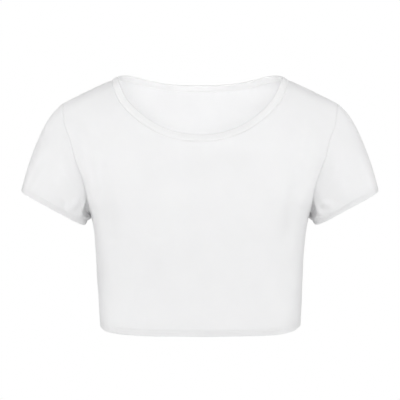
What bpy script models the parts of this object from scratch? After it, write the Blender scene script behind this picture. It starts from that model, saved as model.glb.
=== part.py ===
"""A short-sleeved crop top with a wide scoop neck, standing hollow in its worn form.

Metres, +Z up. The front faces -Y and the wearer's left is +X. The origin lies midway between
the high points of the two shoulders, beside the neck. Every cut piece is a closed wall of
cloth on one shared form: the two panels follow the form of the torso, the sleeves run from the
armholes to their hems, and the neckband continues the panels round the neck.
"""

from collections import namedtuple

import bpy
import numpy as np

# Cloth and sewing
CLOTH = 0.0012
SEAM_GAP = 0.0003
HEM_DEPTH = 0.0105
HEM_STEP = 0.0012
HEM_THICKNESS = 0.0019
SLEEVE_HEM_DEPTH = 0.0095
LARGEST_MITRE = 1.10

# Shoulders: the slope down and the half width at which it sets in, with the ease round that
SHOULDER_SLOPE = 0.520
SLOPE_STARTS = 0.1170
SLOPE_EASE = 0.028

# Necklines: half width at the shoulders, drops at the middle, and the powers of each rounded
# curve across and up, 2 for an ellipse and more for a squarer one
NECK_HALF_WIDTH = 0.1305
FRONT_NECK_DROP = 0.0953
BACK_NECK_DROP = 0.0287
FRONT_SCOOP_POWERS = (2.00, 2.50)
BACK_SCOOP_POWERS = (2.4, 1.9)

# Neckband, thinner at its fold than along its middle
BAND_WIDTH = 0.0114
BAND_THICKNESS = 0.0024
BAND_EDGE_SHARE = 0.45
BAND_SMOOTHINGS = 2

# Lean of the neckband inwards, as a share taken off its rise, from the front to the back
BandLean = namedtuple("BandLean", "name y share")
BAND_LEANS = (
    BandLean("front", -0.086, 0.24),
    BandLean("collarbone", -0.045, 0.34),
    BandLean("shoulder", 0.000, 0.33),
    BandLean("trapezius", 0.040, 0.10),
    BandLean("back", 0.073, 0.00),
)

# Torso form from the hem to the ridge of the shoulders, a row for each level:
#   height          z at the middle of the body
#   form_half       half width of the whole form, arms' roots included
#   seam_half       half width at the side seam, and at the armhole seam above the underarm
#   front, back     depth from the side seams' plane to the middle front and middle back
#   drop            share of the shoulder slope that this level follows
#   square          squareness of the level's section, 0 for an ellipse
Level = namedtuple("Level", "name height form_half seam_half front back drop square")
LEVELS = (
    Level("hem", -0.3768, 0.1508, 0.1508, 0.1010, 0.0830, 0.00, 0.070),
    Level("waist", -0.3180, 0.1532, 0.1532, 0.1035, 0.0830, 0.00, 0.062),
    Level("ribs", -0.2620, 0.1562, 0.1562, 0.1095, 0.0880, 0.00, 0.050),
    Level("underarm", -0.2070, 0.1650, 0.1650, 0.1145, 0.0940, 0.00, 0.043),
    Level("bust", -0.1640, 0.1835, 0.1690, 0.1120, 0.0985, 0.02, 0.038),
    Level("chest", -0.1220, 0.2030, 0.1820, 0.0985, 0.0990, 0.14, 0.034),
    Level("yoke", -0.0790, 0.2150, 0.1920, 0.0785, 0.0925, 0.46, 0.030),
    Level("collarbone", -0.0380, 0.2240, 0.1990, 0.0560, 0.0750, 0.82, 0.026),
    Level("crest", -0.0075, 0.2290, 0.2025, 0.0300, 0.0500, 0.98, 0.024),
    Level("ridge", 0.0015, 0.2300, 0.2035, 0.0000, 0.0000, 1.00, 0.024),
)
UNDERARM = [level.name for level in LEVELS].index("underarm")

# Rise of the hem towards the side seams, which dies out this share of the way to the underarm
SIDE_RAISE = 0.0085
SIDE_RAISE_POWER = 3.5
SIDE_RAISE_REACH = 0.9

# Sleeves: the ring of the hem, in the plane across the sleeve's axis, how far its front and
# back bow out of that plane, and the most that the hem takes of the short underarm length
SLEEVE_HEM_CENTRE = (0.2195, 0.0, -0.1995)
SLEEVE_AXIS = (0.48, 0.0, -0.877)
SLEEVE_HALF_WIDTH = 0.0540
SLEEVE_HALF_DEPTH = 0.0500
SLEEVE_HEM_BOW = -0.0020
LARGEST_HEM_SHARE = 0.30

# How the sleeve's cloth leaves the armhole and reaches the hem, from the shoulder (turn 0) to
# under the arm (turn 1): its way out, forward and down at the armhole, the lean of its way
# down at the hem, and its pull at both ends in shares of its length
Run = namedtuple("Run", "name turn out forward down lean pull end_pull")
SLEEVE_RUNS = (
    Run("top", 0.00, 1.00, 0.00, 0.66, 76.0, 0.77, 0.96),
    Run("fore", 0.25, 0.95, 0.10, 0.66, 70.0, 0.80, 0.90),
    Run("middle", 0.50, 0.80, 0.30, 0.70, 63.0, 0.80, 0.80),
    Run("low", 0.75, 0.90, 0.20, 0.75, 61.0, 0.80, 0.75),
    Run("underarm", 1.00, 1.00, 0.00, 0.35, 61.0, 0.80, 0.75),
)

# Largest folds, as soft ridges (rise above 0) and troughs (below 0) between two points of a
# panel seen from the front, for both halves alike
Fold = namedtuple("Fold", "piece x_top z_top x_low z_low width rise")
FOLDS = (
    Fold("front", 0.172, -0.090, 0.155, -0.186, 0.0095, 0.0055),
    Fold("front", 0.146, -0.130, 0.130, -0.235, 0.0130, -0.0040),
    Fold("front", 0.120, -0.215, 0.118, -0.330, 0.0160, -0.0015),
    Fold("back", 0.168, -0.085, 0.150, -0.180, 0.0100, 0.0030),
    Fold("back", 0.142, -0.120, 0.124, -0.230, 0.0135, -0.0030),
    Fold("back", 0.108, -0.215, 0.110, -0.330, 0.0170, -0.0018),
)
FOLD_FADE = 0.014

# Folds of both sleeves: turn from the shoulder (0) round the front to under the arm (1) and on
# round the back to the shoulder (2), the shares of the length between which it runs, its width
# in turns, and its rise
SleeveFold = namedtuple("SleeveFold", "turn start end width rise")
SLEEVE_FOLDS = (
    SleeveFold(0.34, 0.30, 0.95, 0.060, -0.0018),
    SleeveFold(0.50, 0.20, 0.80, 0.075, 0.0022),
    SleeveFold(0.74, 0.15, 0.70, 0.060, -0.0028),
    SleeveFold(1.28, 0.15, 0.75, 0.065, -0.0026),
    SleeveFold(1.52, 0.25, 0.90, 0.080, 0.0018),
)
SLEEVE_FOLD_EASE = 0.18

# Grid of the pieces: steps along each edge, and the band's rows as shares of its width
NECK_STEPS = 13
SHOULDER_STEPS = 6
SIDE_STEPS = 8
ARMHOLE_STEPS = 12
SLEEVE_STEPS = 9
BAND_ROWS = (0.0, 0.14, 0.55, 0.90, 1.0)

# Working values: points on a curve that is measured, rounds of Newton's method, the distance
# within which points are one, the shortest vector that is scaled, and the sharpest smooth bend
FINE = 400
NEWTON_ROUNDS = 12
SAME_POINT = 1e-6
SHORTEST = 1e-12
SHARP_ANGLE = 50.0

JERSEY = (0.88, 0.88, 0.885, 1.0)
BINDING = (0.90, 0.90, 0.905, 1.0)
CLOTH_ROUGHNESS = 0.92

# A cut piece: its grid of points, its half thickness out and in at each of them, the edges that
# are seams, whether its columns close into a ring, and its colour
Piece = namedtuple("Piece", "name points thick_out thick_in seams closed colour")


def smooth_curve(knots, values, at):
    """Values at the places asked for, on a smooth curve through the knots."""
    slopes = np.gradient(values, knots)
    index = np.clip(np.searchsorted(knots, at, side="right") - 1, 0, len(knots) - 2)
    step = knots[index + 1] - knots[index]
    t = (at - knots[index]) / step
    low = (1 + 2 * t) * (1 - t) ** 2 * values[index] + t * (1 - t) ** 2 * step * slopes[index]
    high = t * t * (3 - 2 * t) * values[index + 1] + t * t * (t - 1) * step * slopes[index + 1]
    return low + high


def lengths_along(points):
    """Distance along a line of points, from its start to each of them."""
    steps = np.linalg.norm(np.diff(points, axis=0), axis=1)
    return np.concatenate([[0.0], np.cumsum(steps)])


def even_places(curve, start, end, count):
    """Parameters from start to end that cut the curve into steps of one length."""
    fine = np.linspace(start, end, FINE)
    length = lengths_along(curve(fine))
    return np.interp(np.linspace(0, length[-1], count + 1), length, fine)


def unit(vectors):
    """The vectors at length 1."""
    return vectors / np.maximum(np.linalg.norm(vectors, axis=-1, keepdims=True), SHORTEST)


class Form:
    """The worn form. A place on it is a share of the way from the middle to the seam (0 to 1)
    and a level: the length of cloth up from the hem. Levels past the ridge are on the back."""

    def __init__(self, levels):
        height = np.array([level.height for level in levels])
        depth = np.array([(level.front + level.back) / 2 for level in levels])
        up = lengths_along(np.column_stack([height, depth]))
        self.top = up[-1]
        self.underarm = up[UNDERARM]
        self.knots = np.concatenate([up, 2 * self.top - up[-2::-1]])
        front = [-level.front for level in levels]
        back = [level.back for level in levels[-2::-1]]
        self.columns = {"depth": np.array(front + back)}
        for column in ("height", "form_half", "seam_half", "drop", "square"):
            values = [getattr(level, column) for level in levels]
            self.columns[column] = np.array(values + values[-2::-1])

    def column(self, name, level):
        """A column of the form's table, read between its rows."""
        return smooth_curve(self.knots, self.columns[name], level)

    def edge_angle(self, level, square):
        """Angle round the section at which it reaches the side or armhole seam."""
        below = self.from_hem(level) <= self.underarm
        reach = self.column("seam_half", level) / self.column("form_half", level)
        reach = np.where(below, 1.0, np.minimum(reach, 1.0))
        sine = reach.copy()
        for _ in range(NEWTON_ROUNDS):
            value = (sine * (1 + 3 * square) - 4 * square * sine**3) / (1 - square)
            slope = (1 + 3 * square - 12 * square * sine**2) / (1 - square)
            sine = np.clip(sine - (value - reach) / slope, 0.0, 1.0)
        return np.where(reach >= 1.0, np.pi / 2, np.arcsin(sine))

    def points(self, share, level):
        """Places in space. A section is x = a (sin + k sin 3), y = b (cos - k cos 3)."""
        share, level = np.broadcast_arrays(np.asarray(share, float), np.asarray(level, float))
        square = self.column("square", level)
        angle = share * self.edge_angle(level, square)
        wide = (np.sin(angle) + square * np.sin(3 * angle)) / (1 - square)
        deep = (np.cos(angle) - square * np.cos(3 * angle)) / (1 - square)
        x = self.column("form_half", level) * wide
        y = self.column("depth", level) * deep
        past = np.abs(x) - SLOPE_STARTS
        ramp = (past + np.sqrt(past**2 + SLOPE_EASE**2)) / 2
        z = self.column("height", level) - self.column("drop", level) * SHOULDER_SLOPE * ramp
        near_hem = np.clip(1 - self.from_hem(level) / (self.underarm * SIDE_RAISE_REACH), 0, 1)
        z = z + SIDE_RAISE * near_hem**2 * share**SIDE_RAISE_POWER
        return np.stack([x, y, z], axis=-1)

    def from_hem(self, level):
        """Length of cloth from this level to the nearer hem, the front's or the back's."""
        return np.minimum(level, 2 * self.top - level)

    def level_of(self, drop, back):
        """Level at which the middle of the front or back lies this far below the ridge."""
        fine = np.linspace(self.underarm, self.top, FINE)
        fine = 2 * self.top - fine if back else fine
        middle = self.points(0.0, fine)[:, 2]
        return np.interp(-drop, middle, fine)


def panel_top(form, back):
    """Shares and levels along the neckline, from the middle to the shoulder, then the shoulder."""
    drop = BACK_NECK_DROP if back else FRONT_NECK_DROP
    share_power, level_power = BACK_SCOOP_POWERS if back else FRONT_SCOOP_POWERS
    lowest = form.level_of(drop, back)
    fine = np.linspace(0, 1, FINE)
    neck_share = np.interp(NECK_HALF_WIDTH, form.points(fine, form.top)[:, 0], fine)

    def scoop(turn):
        angle = turn * np.pi / 2
        share = neck_share * np.sin(angle) ** (2 / share_power)
        level = form.top + (lowest - form.top) * np.cos(angle) ** (2 / level_power)
        return share, level

    turns = even_places(lambda turn: form.points(*scoop(turn)), 0.0, 1.0, NECK_STEPS)
    shares, levels = scoop(turns)
    shares[-1], levels[-1] = neck_share, form.top
    shoulder = np.linspace(neck_share, 1.0, SHOULDER_STEPS + 1)[1:]
    return np.append(shares, shoulder), np.append(levels, np.full(SHOULDER_STEPS, form.top))


def panel_levels(form, back):
    """Levels of the grid's rows at the middle and at the outer edge, from the hem up."""

    def side_of(level):
        return 2 * form.top - level if back else level

    hem = np.array([0.0, HEM_DEPTH])
    side = np.linspace(HEM_DEPTH + HEM_STEP, form.underarm, SIDE_STEPS + 1)
    arm = even_places(
        lambda level: form.points(1.0, side_of(level)), form.underarm, form.top, ARMHOLE_STEPS
    )
    outer = np.concatenate([hem, side, arm[1:]])
    lowest = side_of(panel_top(form, back)[1][0])
    rest = np.linspace(HEM_DEPTH + HEM_STEP, lowest, len(outer) - len(hem))
    return side_of(np.concatenate([hem, rest])), side_of(outer)


def half_panel(form, back):
    """Grid of shares and levels for half a panel, blended in from its four edges."""
    top_share, top_level = panel_top(form, back)
    middle, outer = panel_levels(form, back)
    across = np.linspace(0, 1, len(top_share))[:, None]
    up = (
        np.abs(middle - middle[0]) / np.abs(middle[-1] - middle[0])
        + np.abs(outer - outer[0]) / np.abs(outer[-1] - outer[0])
    )[None, :] / 2
    share = (1 - up) * across + up * top_share[:, None]
    level = (
        (1 - up) * middle[0]
        + up * top_level[:, None]
        + (1 - across) * middle[None, :]
        + across * outer[None, :]
        - (1 - across) * ((1 - up) * middle[0] + up * middle[-1])
        - across * ((1 - up) * outer[0] + up * outer[-1])
    )
    return share, level


def whole_panel(form, back):
    """Points of the panel, from the wearer's right edge to the left, each column hem to top."""
    share, level = half_panel(form, back)
    half = form.points(share, level)
    mirrored = half[:0:-1] * np.array([-1.0, 1.0, 1.0])
    return np.concatenate([mirrored, half])


def grid_normals(points, closed):
    """Normals of a grid of points, from the steps along its two directions."""
    if closed:
        along = np.roll(points, -1, axis=0) - np.roll(points, 1, axis=0)
    else:
        along = np.gradient(points, axis=0)
    return unit(np.cross(along, np.gradient(points, axis=1)))


def folded(points, normals, name):
    """The panel's points moved out on its ridges and in on its troughs, fading at the seams."""
    rise = np.zeros(points.shape[:2])
    seen = np.stack([np.abs(points[..., 0]), points[..., 2]], axis=-1)
    for fold in FOLDS:
        if fold.piece != name:
            continue
        start = np.array([fold.x_top, fold.z_top])
        along = np.array([fold.x_low, fold.z_low]) - start
        place = np.clip(((seen - start) @ along) / (along @ along), 0, 1)
        away = np.linalg.norm(seen - start - place[..., None] * along, axis=-1)
        rise += fold.rise * np.exp(-((away / fold.width) ** 2))
    edges = np.concatenate([points[0], points[-1], points[:, -1]])
    nearest = np.linalg.norm(points[..., None, :] - edges, axis=-1).min(axis=-1)
    fade = np.clip(nearest / FOLD_FADE, 0, 1)
    return points + normals * (rise * fade * fade * (3 - 2 * fade))[..., None]


def sleeve_points(front, back):
    """Rings of the wearer's left sleeve, from the armhole to the hem. The rings start at the
    shoulder and run down the front, under the arm and up the back."""
    first = -1 - ARMHOLE_STEPS
    loop = np.concatenate([front[-1, : first - 1 : -1], back[-1, first + 1 : -1]])
    half = ARMHOLE_STEPS
    fore = lengths_along(loop[: half + 1])
    rear = lengths_along(np.concatenate([loop[half:], loop[:1]]))
    turn = np.concatenate([fore / fore[-1], 1 + rear[1:-1] / rear[-1]]) * np.pi
    axis = unit(np.array(SLEEVE_AXIS))
    outwards = np.array([-axis[2], 0.0, axis[0]])
    bow = SLEEVE_HEM_BOW * np.sin(turn)[:, None] ** 2 * axis
    hem = (
        np.array(SLEEVE_HEM_CENTRE)
        + SLEEVE_HALF_WIDTH * np.cos(turn)[:, None] * outwards
        + SLEEVE_HALF_DEPTH * np.sin(turn)[:, None] * np.array([0.0, -1.0, 0.0])
        + bow
    )
    place = 1 - np.abs(1 - turn / np.pi)
    turns = np.array([run.turn for run in SLEEVE_RUNS])
    out, forward, down, lean, pull, end_pull = (
        smooth_curve(turns, np.array([getattr(run, name) for run in SLEEVE_RUNS]), place)
        for name in ("out", "forward", "down", "lean", "pull", "end_pull")
    )
    side = np.where(turn < np.pi, -1.0, 1.0)
    length = np.linalg.norm(hem - loop, axis=1, keepdims=True)
    leave = unit(np.stack([out, side * forward, -down], axis=-1)) * pull[:, None] * length
    lean = np.radians(lean)
    arrive = np.stack([np.cos(lean), 0 * lean, -np.sin(lean)], axis=-1) * end_pull[:, None] * length
    hem_share = (SLEEVE_HEM_DEPTH / length).clip(max=LARGEST_HEM_SHARE)
    step_share = hem_share * (1 + HEM_STEP / SLEEVE_HEM_DEPTH)
    steps = np.linspace(0, 1, SLEEVE_STEPS + 1)[None, :]
    t = np.concatenate([steps * (1 - step_share), 1 - hem_share, np.ones_like(hem_share)], axis=1)
    shares = t
    t = t[..., None]
    points = (
        (1 + 2 * t) * (1 - t) ** 2 * loop[:, None]
        + t * (1 - t) ** 2 * leave[:, None]
        + t * t * (3 - 2 * t) * hem[:, None]
        + t * t * (t - 1) * arrive[:, None]
    )
    return points + sleeve_rise(turn / np.pi, shares)[..., None] * grid_normals(points, True)


def sleeve_rise(turn, shares):
    """Height of the sleeve's folds, which end before the armhole and before the hem."""
    rise = np.zeros(shares.shape)
    for fold in SLEEVE_FOLDS:
        away = np.abs((turn[:, None] - fold.turn + 1) % 2 - 1)
        begins = np.clip((shares - fold.start) / SLEEVE_FOLD_EASE + 0.5, 0, 1)
        ends = np.clip((fold.end - shares) / SLEEVE_FOLD_EASE + 0.5, 0, 1)
        rise += fold.rise * np.exp(-((away / fold.width) ** 2)) * begins * ends
    free = np.clip(shares / SLEEVE_FOLD_EASE, 0, 1) * np.clip((1 - shares) / SLEEVE_FOLD_EASE, 0, 1)
    return rise * free


def band_points(front, back, normals_front, normals_back):
    """The neckband's grid: round the neck from the wearer's right, from the seam to its fold."""
    middle = NECK_STEPS + SHOULDER_STEPS
    reach = slice(middle - NECK_STEPS, middle + NECK_STEPS + 1)
    ring = np.concatenate([front[reach, -1], back[reach, -1][-2:0:-1]])
    facing = np.concatenate([normals_front[reach, -1], normals_back[reach, -1][-2:0:-1]])
    along = unit(np.roll(ring, -1, axis=0) - np.roll(ring, 1, axis=0))
    into = unit(np.cross(facing, along))
    for _ in range(BAND_SMOOTHINGS):
        into = unit(np.roll(into, 1, axis=0) + 2 * into + np.roll(into, -1, axis=0))
    places = np.array([lean.y for lean in BAND_LEANS])
    shares = np.array([lean.share for lean in BAND_LEANS])
    into[:, 2] *= 1 - smooth_curve(places, shares, ring[:, 1].clip(places[0], places[-1]))
    into = unit(into)
    rows = BAND_WIDTH * np.array(BAND_ROWS)[None, :, None]
    return ring[:, None] + rows * into[:, None]


def mirrored(points):
    """The wearer's right sleeve: the left one seen in a mirror, its rings turned round."""
    return np.roll(points[::-1], 1, axis=0) * np.array([-1.0, 1.0, 1.0])


def shared_normals(grids):
    """Each grid's normals, with one mean normal where pieces meet at a seam."""
    places = []
    total = {}
    for points, normals in grids:
        keys = np.round(points.reshape(-1, 3) / SAME_POINT).astype(int)
        places.append([tuple(key) for key in keys])
        for key, normal in zip(places[-1], normals.reshape(-1, 3)):
            total[key] = total.get(key, 0) + normal
    return [
        unit(np.array([total[key] for key in keys])).reshape(points.shape)
        for keys, (points, _) in zip(places, grids)
    ]


def pulled_back(points, normals, closed, seams):
    """Shifts of the seam edges into their own piece, by half the gap."""
    shift = np.zeros_like(points)
    for seam in seams:
        edge, inner = {
            "low": ((slice(None), 0), (slice(None), 1)),
            "top": ((slice(None), -1), (slice(None), -2)),
            "first": ((0,), (1,)),
            "last": ((-1,), (-2,)),
        }[seam]
        line = points[edge]
        if closed:
            along = unit(np.roll(line, -1, axis=0) - np.roll(line, 1, axis=0))
        else:
            along = unit(np.gradient(line, axis=0))
        inwards = points[inner] - line
        for blocked in (along, normals[edge]):
            inwards = inwards - (inwards * blocked).sum(axis=-1, keepdims=True) * blocked
        shift[edge] += unit(inwards) * SEAM_GAP / 2
    return shift


def rim_faces(starts, ends, under, heights):
    """Faces that close a wall along its edge. Each step is cut from its upper end outside to its
    lower end inside, so that the rims of two pieces that meet there have the same bends."""
    rising = (heights[ends] > heights[starts])[:, None]
    first = np.where(
        rising,
        np.stack([ends, starts, starts + under], axis=-1),
        np.stack([ends, starts, ends + under], axis=-1),
    )
    second = np.where(
        rising,
        np.stack([ends, starts + under, ends + under], axis=-1),
        np.stack([starts, starts + under, ends + under], axis=-1),
    )
    return first.tolist() + second.tolist()


def wall_mesh(piece, normals, own_normals):
    """A closed wall: the grid's points moved out and in along the normals, and a rim."""
    lean = (normals * own_normals).sum(axis=-1, keepdims=True)
    mitre = 1 / np.maximum(lean, 1 / LARGEST_MITRE)
    base = piece.points + pulled_back(piece.points, normals, piece.closed, piece.seams)
    outer = base + normals * mitre * piece.thick_out[..., None]
    inner = base - normals * mitre * piece.thick_in[..., None]
    columns, rows = piece.points.shape[:2]
    index = np.arange(columns * rows).reshape(columns, rows)
    if piece.closed:
        index = np.concatenate([index, index[:1]])
    skin = np.stack([index[:-1, :-1], index[1:, :-1], index[1:, 1:], index[:-1, 1:]], axis=-1)
    skin = skin.reshape(-1, 4)
    under = columns * rows
    edges = [index[:, 0], index[::-1, -1]]
    if not piece.closed:
        edges = [np.concatenate([index[:, 0], index[-1, 1:], index[-2::-1, -1], index[0, -2::-1]])]
    faces = skin.tolist() + (skin[:, ::-1] + under).tolist()
    for edge in edges:
        faces += rim_faces(edge[:-1], edge[1:], under, base.reshape(-1, 3)[:, 2])
    mesh = bpy.data.meshes.new(piece.name)
    points = np.concatenate([outer.reshape(-1, 3), inner.reshape(-1, 3)])
    mesh.from_pydata(points.tolist(), [], faces)
    mesh.update()
    return mesh


def cloth_material(name, colour):
    """A matt cloth of this colour."""
    material = bpy.data.materials.new(name)
    material.use_nodes = True
    shader = material.node_tree.nodes["Principled BSDF"]
    shader.inputs["Base Color"].default_value = colour
    shader.inputs["Roughness"].default_value = CLOTH_ROUGHNESS
    shader.inputs["Metallic"].default_value = 0.0
    return material


def add_piece(piece, normals, own_normals):
    """The piece's wall as an object of its own, in its cloth."""
    mesh = wall_mesh(piece, normals, own_normals)
    mesh.shade_smooth()
    mesh.set_sharp_from_angle(angle=np.radians(SHARP_ANGLE))
    mesh.materials.append(cloth_material(piece.name + "_cloth", piece.colour))
    obj = bpy.data.objects.new(piece.name, mesh)
    bpy.context.scene.collection.objects.link(obj)


def cloth_walls(points, hem_rows):
    """Outer and inner half thickness: even, with the turned-up hem added on the inside."""
    outer = np.full(points.shape[:2], CLOTH / 2)
    inner = outer.copy()
    inner[:, hem_rows] = HEM_THICKNESS - CLOTH / 2
    return outer, inner


def make_panels():
    """Points of the front and back. Both run so that their normals point out."""
    form = Form(LEVELS)
    unfolded = {"front": whole_panel(form, False), "back": whole_panel(form, True)[::-1]}
    return {
        name: folded(points, grid_normals(points, False), name)
        for name, points in unfolded.items()
    }


def make_pieces():
    """The five cut pieces: two panels with their hems low, two sleeves and the neckband."""
    panels = make_panels()
    front, back = panels["front"], panels["back"][::-1]
    left = sleeve_points(front, back)
    band = band_points(front, back, grid_normals(front, False), -grid_normals(back, False))
    pieces = []
    for name, points in panels.items():
        outer, inner = cloth_walls(points, slice(0, 2))
        pieces.append(Piece(name, points, outer, inner, ("first", "last", "top"), False, JERSEY))
    for name, points in (("sleeve_left", left), ("sleeve_right", mirrored(left))):
        outer, inner = cloth_walls(points, slice(-2, None))
        pieces.append(Piece(name, points, outer, inner, ("low",), True, JERSEY))
    half = np.full(band.shape[:2], BAND_THICKNESS / 2)
    half[:, -1] *= BAND_EDGE_SHARE
    half[:, 0] = CLOTH / 2
    pieces.append(Piece("neckband", band, half, half, ("low",), True, BINDING))
    return pieces


def main():
    """Clears the scene and adds the cut pieces."""
    for obj in list(bpy.data.objects):
        bpy.data.objects.remove(obj)
    pieces = make_pieces()
    own = [grid_normals(piece.points, piece.closed) for piece in pieces]
    met = shared_normals([(piece.points, normals) for piece, normals in zip(pieces, own)])
    for piece, normals, own_normals in zip(pieces, met, own):
        add_piece(piece, normals, own_normals)


main()
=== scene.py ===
"""Looks of a white cotton crop top: jersey panels and sleeves, a folded neck binding, twin-needle hems.

Metres, +Z up. The front faces -Y and the wearer's left is +X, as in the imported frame. Each cut
piece is a thin shell of cloth on the form of its solid. Hems are really turned up and the
binding is really folded, so every piece is one sheet of cloth.
"""

from __future__ import annotations

import logging
from dataclasses import dataclass, field
from enum import Enum
from math import cos, pi, radians, sin

import bpy
import numpy as np
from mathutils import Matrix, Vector


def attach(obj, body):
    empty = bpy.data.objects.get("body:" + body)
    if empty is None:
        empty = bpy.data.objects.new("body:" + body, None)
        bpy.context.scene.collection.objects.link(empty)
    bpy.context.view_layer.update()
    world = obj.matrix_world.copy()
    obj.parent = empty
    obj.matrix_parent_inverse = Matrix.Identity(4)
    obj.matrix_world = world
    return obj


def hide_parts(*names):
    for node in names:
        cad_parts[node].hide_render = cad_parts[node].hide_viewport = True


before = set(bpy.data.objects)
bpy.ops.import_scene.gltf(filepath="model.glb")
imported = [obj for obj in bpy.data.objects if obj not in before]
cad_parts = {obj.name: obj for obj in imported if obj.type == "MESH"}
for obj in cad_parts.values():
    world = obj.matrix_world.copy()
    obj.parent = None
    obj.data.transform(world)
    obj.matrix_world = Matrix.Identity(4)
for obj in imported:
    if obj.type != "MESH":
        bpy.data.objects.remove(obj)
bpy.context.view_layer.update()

log = logging.getLogger("crop_top")

# An array, a colour with its alpha, a place in space, a place on a piece, and Blender's types
Array = np.ndarray
Colour = tuple[float, float, float, float]
Place = tuple[float, float, float]
Flat = tuple[float, float]
Object = bpy.types.Object
Socket = bpy.types.NodeSocket

UV_NAME = "cloth"

# Points on a curve that is measured and on a part of a section, rounds of Newton's method, the
# distance within which points are one, the shortest vector that is scaled, the sharpest smooth bend
FINE = 400
SECTION_STEPS = 24
NEWTON_ROUNDS = 12
SAME_POINT = 1e-6
SHORTEST = 1e-12
SHARP_ANGLE = radians(50)

# Factors that mirror a place to the other side, and turn a flat place upside down
MIRROR = np.array([-1.0, 1.0, 1.0])
UPSIDE_DOWN = np.array([1.0, -1.0])

# Share of a crease's length, both before and past each end, over which it rises or falls
CREASE_EASE = 0.35


class Side(Enum):
    """The two panels of the body."""

    FRONT = "front"
    BACK = "back"

    @property
    def way(self) -> int:
        """1 where the cross product of a grid's steps points out of the body, and -1 on the back."""
        return 1 if self is Side.FRONT else -1


class Hand(Enum):
    """The wearer's two hands, with the sign of x on that side."""

    LEFT = 1
    RIGHT = -1


# ==== Sizes of the cloth and the sewing ====


@dataclass(frozen=True)
class Cloth:
    """The jersey and how it is sewn.

    Args:
        thickness: one layer of cloth.
        wall: the wall of the solids, whose outer face the cloth keeps.
        seam_dip, seam_width: depth and half width of the groove along a seam.
        pucker, pucker_pitch, pucker_reach: height, length and reach of the puckers beside it.
        second_share, second_pitch, second_start: height and length of the second wave of the
            puckers over those of the first, and where it starts.
        largest_mitre: the most that a skin is moved out where two pieces meet at an angle.
    """

    thickness: float = 0.0009
    wall: float = 0.0012
    seam_dip: float = 0.00045
    seam_width: float = 0.0011
    pucker: float = 0.00022
    pucker_pitch: float = 0.0115
    pucker_reach: float = 0.0035
    second_share: float = 0.7
    second_pitch: float = 1.73
    second_start: float = 1.3
    largest_mitre: float = 1.10

    @property
    def lift(self) -> float:
        """How far the middle of the cloth lies outside the middle of the wall."""
        return (self.wall - self.thickness) / 2


@dataclass(frozen=True)
class Hem:
    """A hem turned up once inside and held by two rows of stitches.

    Args:
        depth: how far up the raw edge lies inside.
        fold: radius of the fold, from the middle of the cloth.
        needles: heights of the two stitch rows above the fold.
        groove, groove_width: how deep and how wide the thread pulls the cloth in.
        rope, rope_pitch: height and length of the slanting ripples between the rows.
        rope_second: height of their second wave over the first, its turns for each of the
            first's, and where it starts.
        rope_strip: half the height that they fill, as a share of the lower row's.
        wave: height of the slow wave of the whole edge, which dies out over wave_reach.
        wave_lengths, wave_starts: of its two sines.
        wave_second: height of the second of them over the first.
        rows, fold_rows, step: rows of the grid up to the raw edge and round the fold, and the
            step to the row past the raw edge.
    """

    depth: float = 0.0105
    fold: float = 0.0005
    needles: tuple[float, float] = (0.0050, 0.0092)
    groove: float = 0.00016
    groove_width: float = 0.00048
    rope: float = 0.00005
    rope_pitch: float = 0.0072
    rope_second: tuple[float, float, float] = (0.6, 0.618, 1.0)
    rope_strip: float = 0.6
    wave: float = 0.0006
    wave_reach: float = 0.045
    wave_lengths: tuple[float, float] = (0.083, 0.131)
    wave_starts: tuple[float, float] = (0.4, 2.0)
    wave_second: float = 0.7
    rows: int = 20
    fold_rows: int = 5
    step: float = 0.0012

    def heights(self) -> Array:
        """Heights of the grid's rows from the fold to the raw edge.

        Returns:
            Heights r (1 - sin a) round the fold for even angles a, then even steps that also
            hold both stitch rows.
        """
        angles = np.linspace(pi / 2, 0, self.fold_rows)
        above = np.linspace(self.fold, self.depth, self.rows)[1:]
        return np.unique(np.concatenate([self.fold * (1 - np.sin(angles)), above, self.needles]))

    def depths(self, heights: Array) -> Array:
        """How far inside the outer surface the cloth lies: r (1 - cos a), sin a = 1 - height / r."""
        sine = 1 - np.clip(heights / self.fold, 0, 1)
        return self.fold * (1 - np.sqrt(1 - sine**2))

    def relief(self, heights: Array, along: Array, free: Array) -> Array:
        """Height of the sewing's relief on the outside.

        Args:
            heights: heights above the fold, a value for each row.
            along: length along the hem of each grid point.
            free: 1 away from the seams, falling to 0 at them.

        Returns:
            Two bell-shaped grooves at the stitch rows, sine ripples that slant between them, and
            a slow wave from two sines of unlike length, all in metres.
        """
        grooves = sum(bell(heights - needle, self.groove_width) for needle in self.needles)
        middle = sum(self.needles) / 2
        between = bell(heights - middle, self.rope_strip * self.needles[0], power=4)
        slant = along / self.rope_pitch + heights / (2 * self.needles[1])
        share, pitch, start = self.rope_second
        ropes = np.sin(2 * pi * slant) + share * np.sin(2 * pi * slant * pitch + start)
        low = bell(heights, self.wave_reach)
        first, second = (
            np.sin(2 * pi * along / length + start)
            for length, start in zip(self.wave_lengths, self.wave_starts)
        )
        waves = first + self.wave_second * second
        return free * (self.rope * ropes * between + self.wave * waves * low) - self.groove * grooves


@dataclass(frozen=True)
class Cut:
    """The flat piece of jersey that a cloth piece is cut as, hem and seam allowances included.

    Args:
        width, length: the rectangle that holds it, not used.
        area: its own area, not used.
        held: how the cloth is held, not used.
    """

    width: float
    length: float
    area: float
    held: str = "hung"


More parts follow.
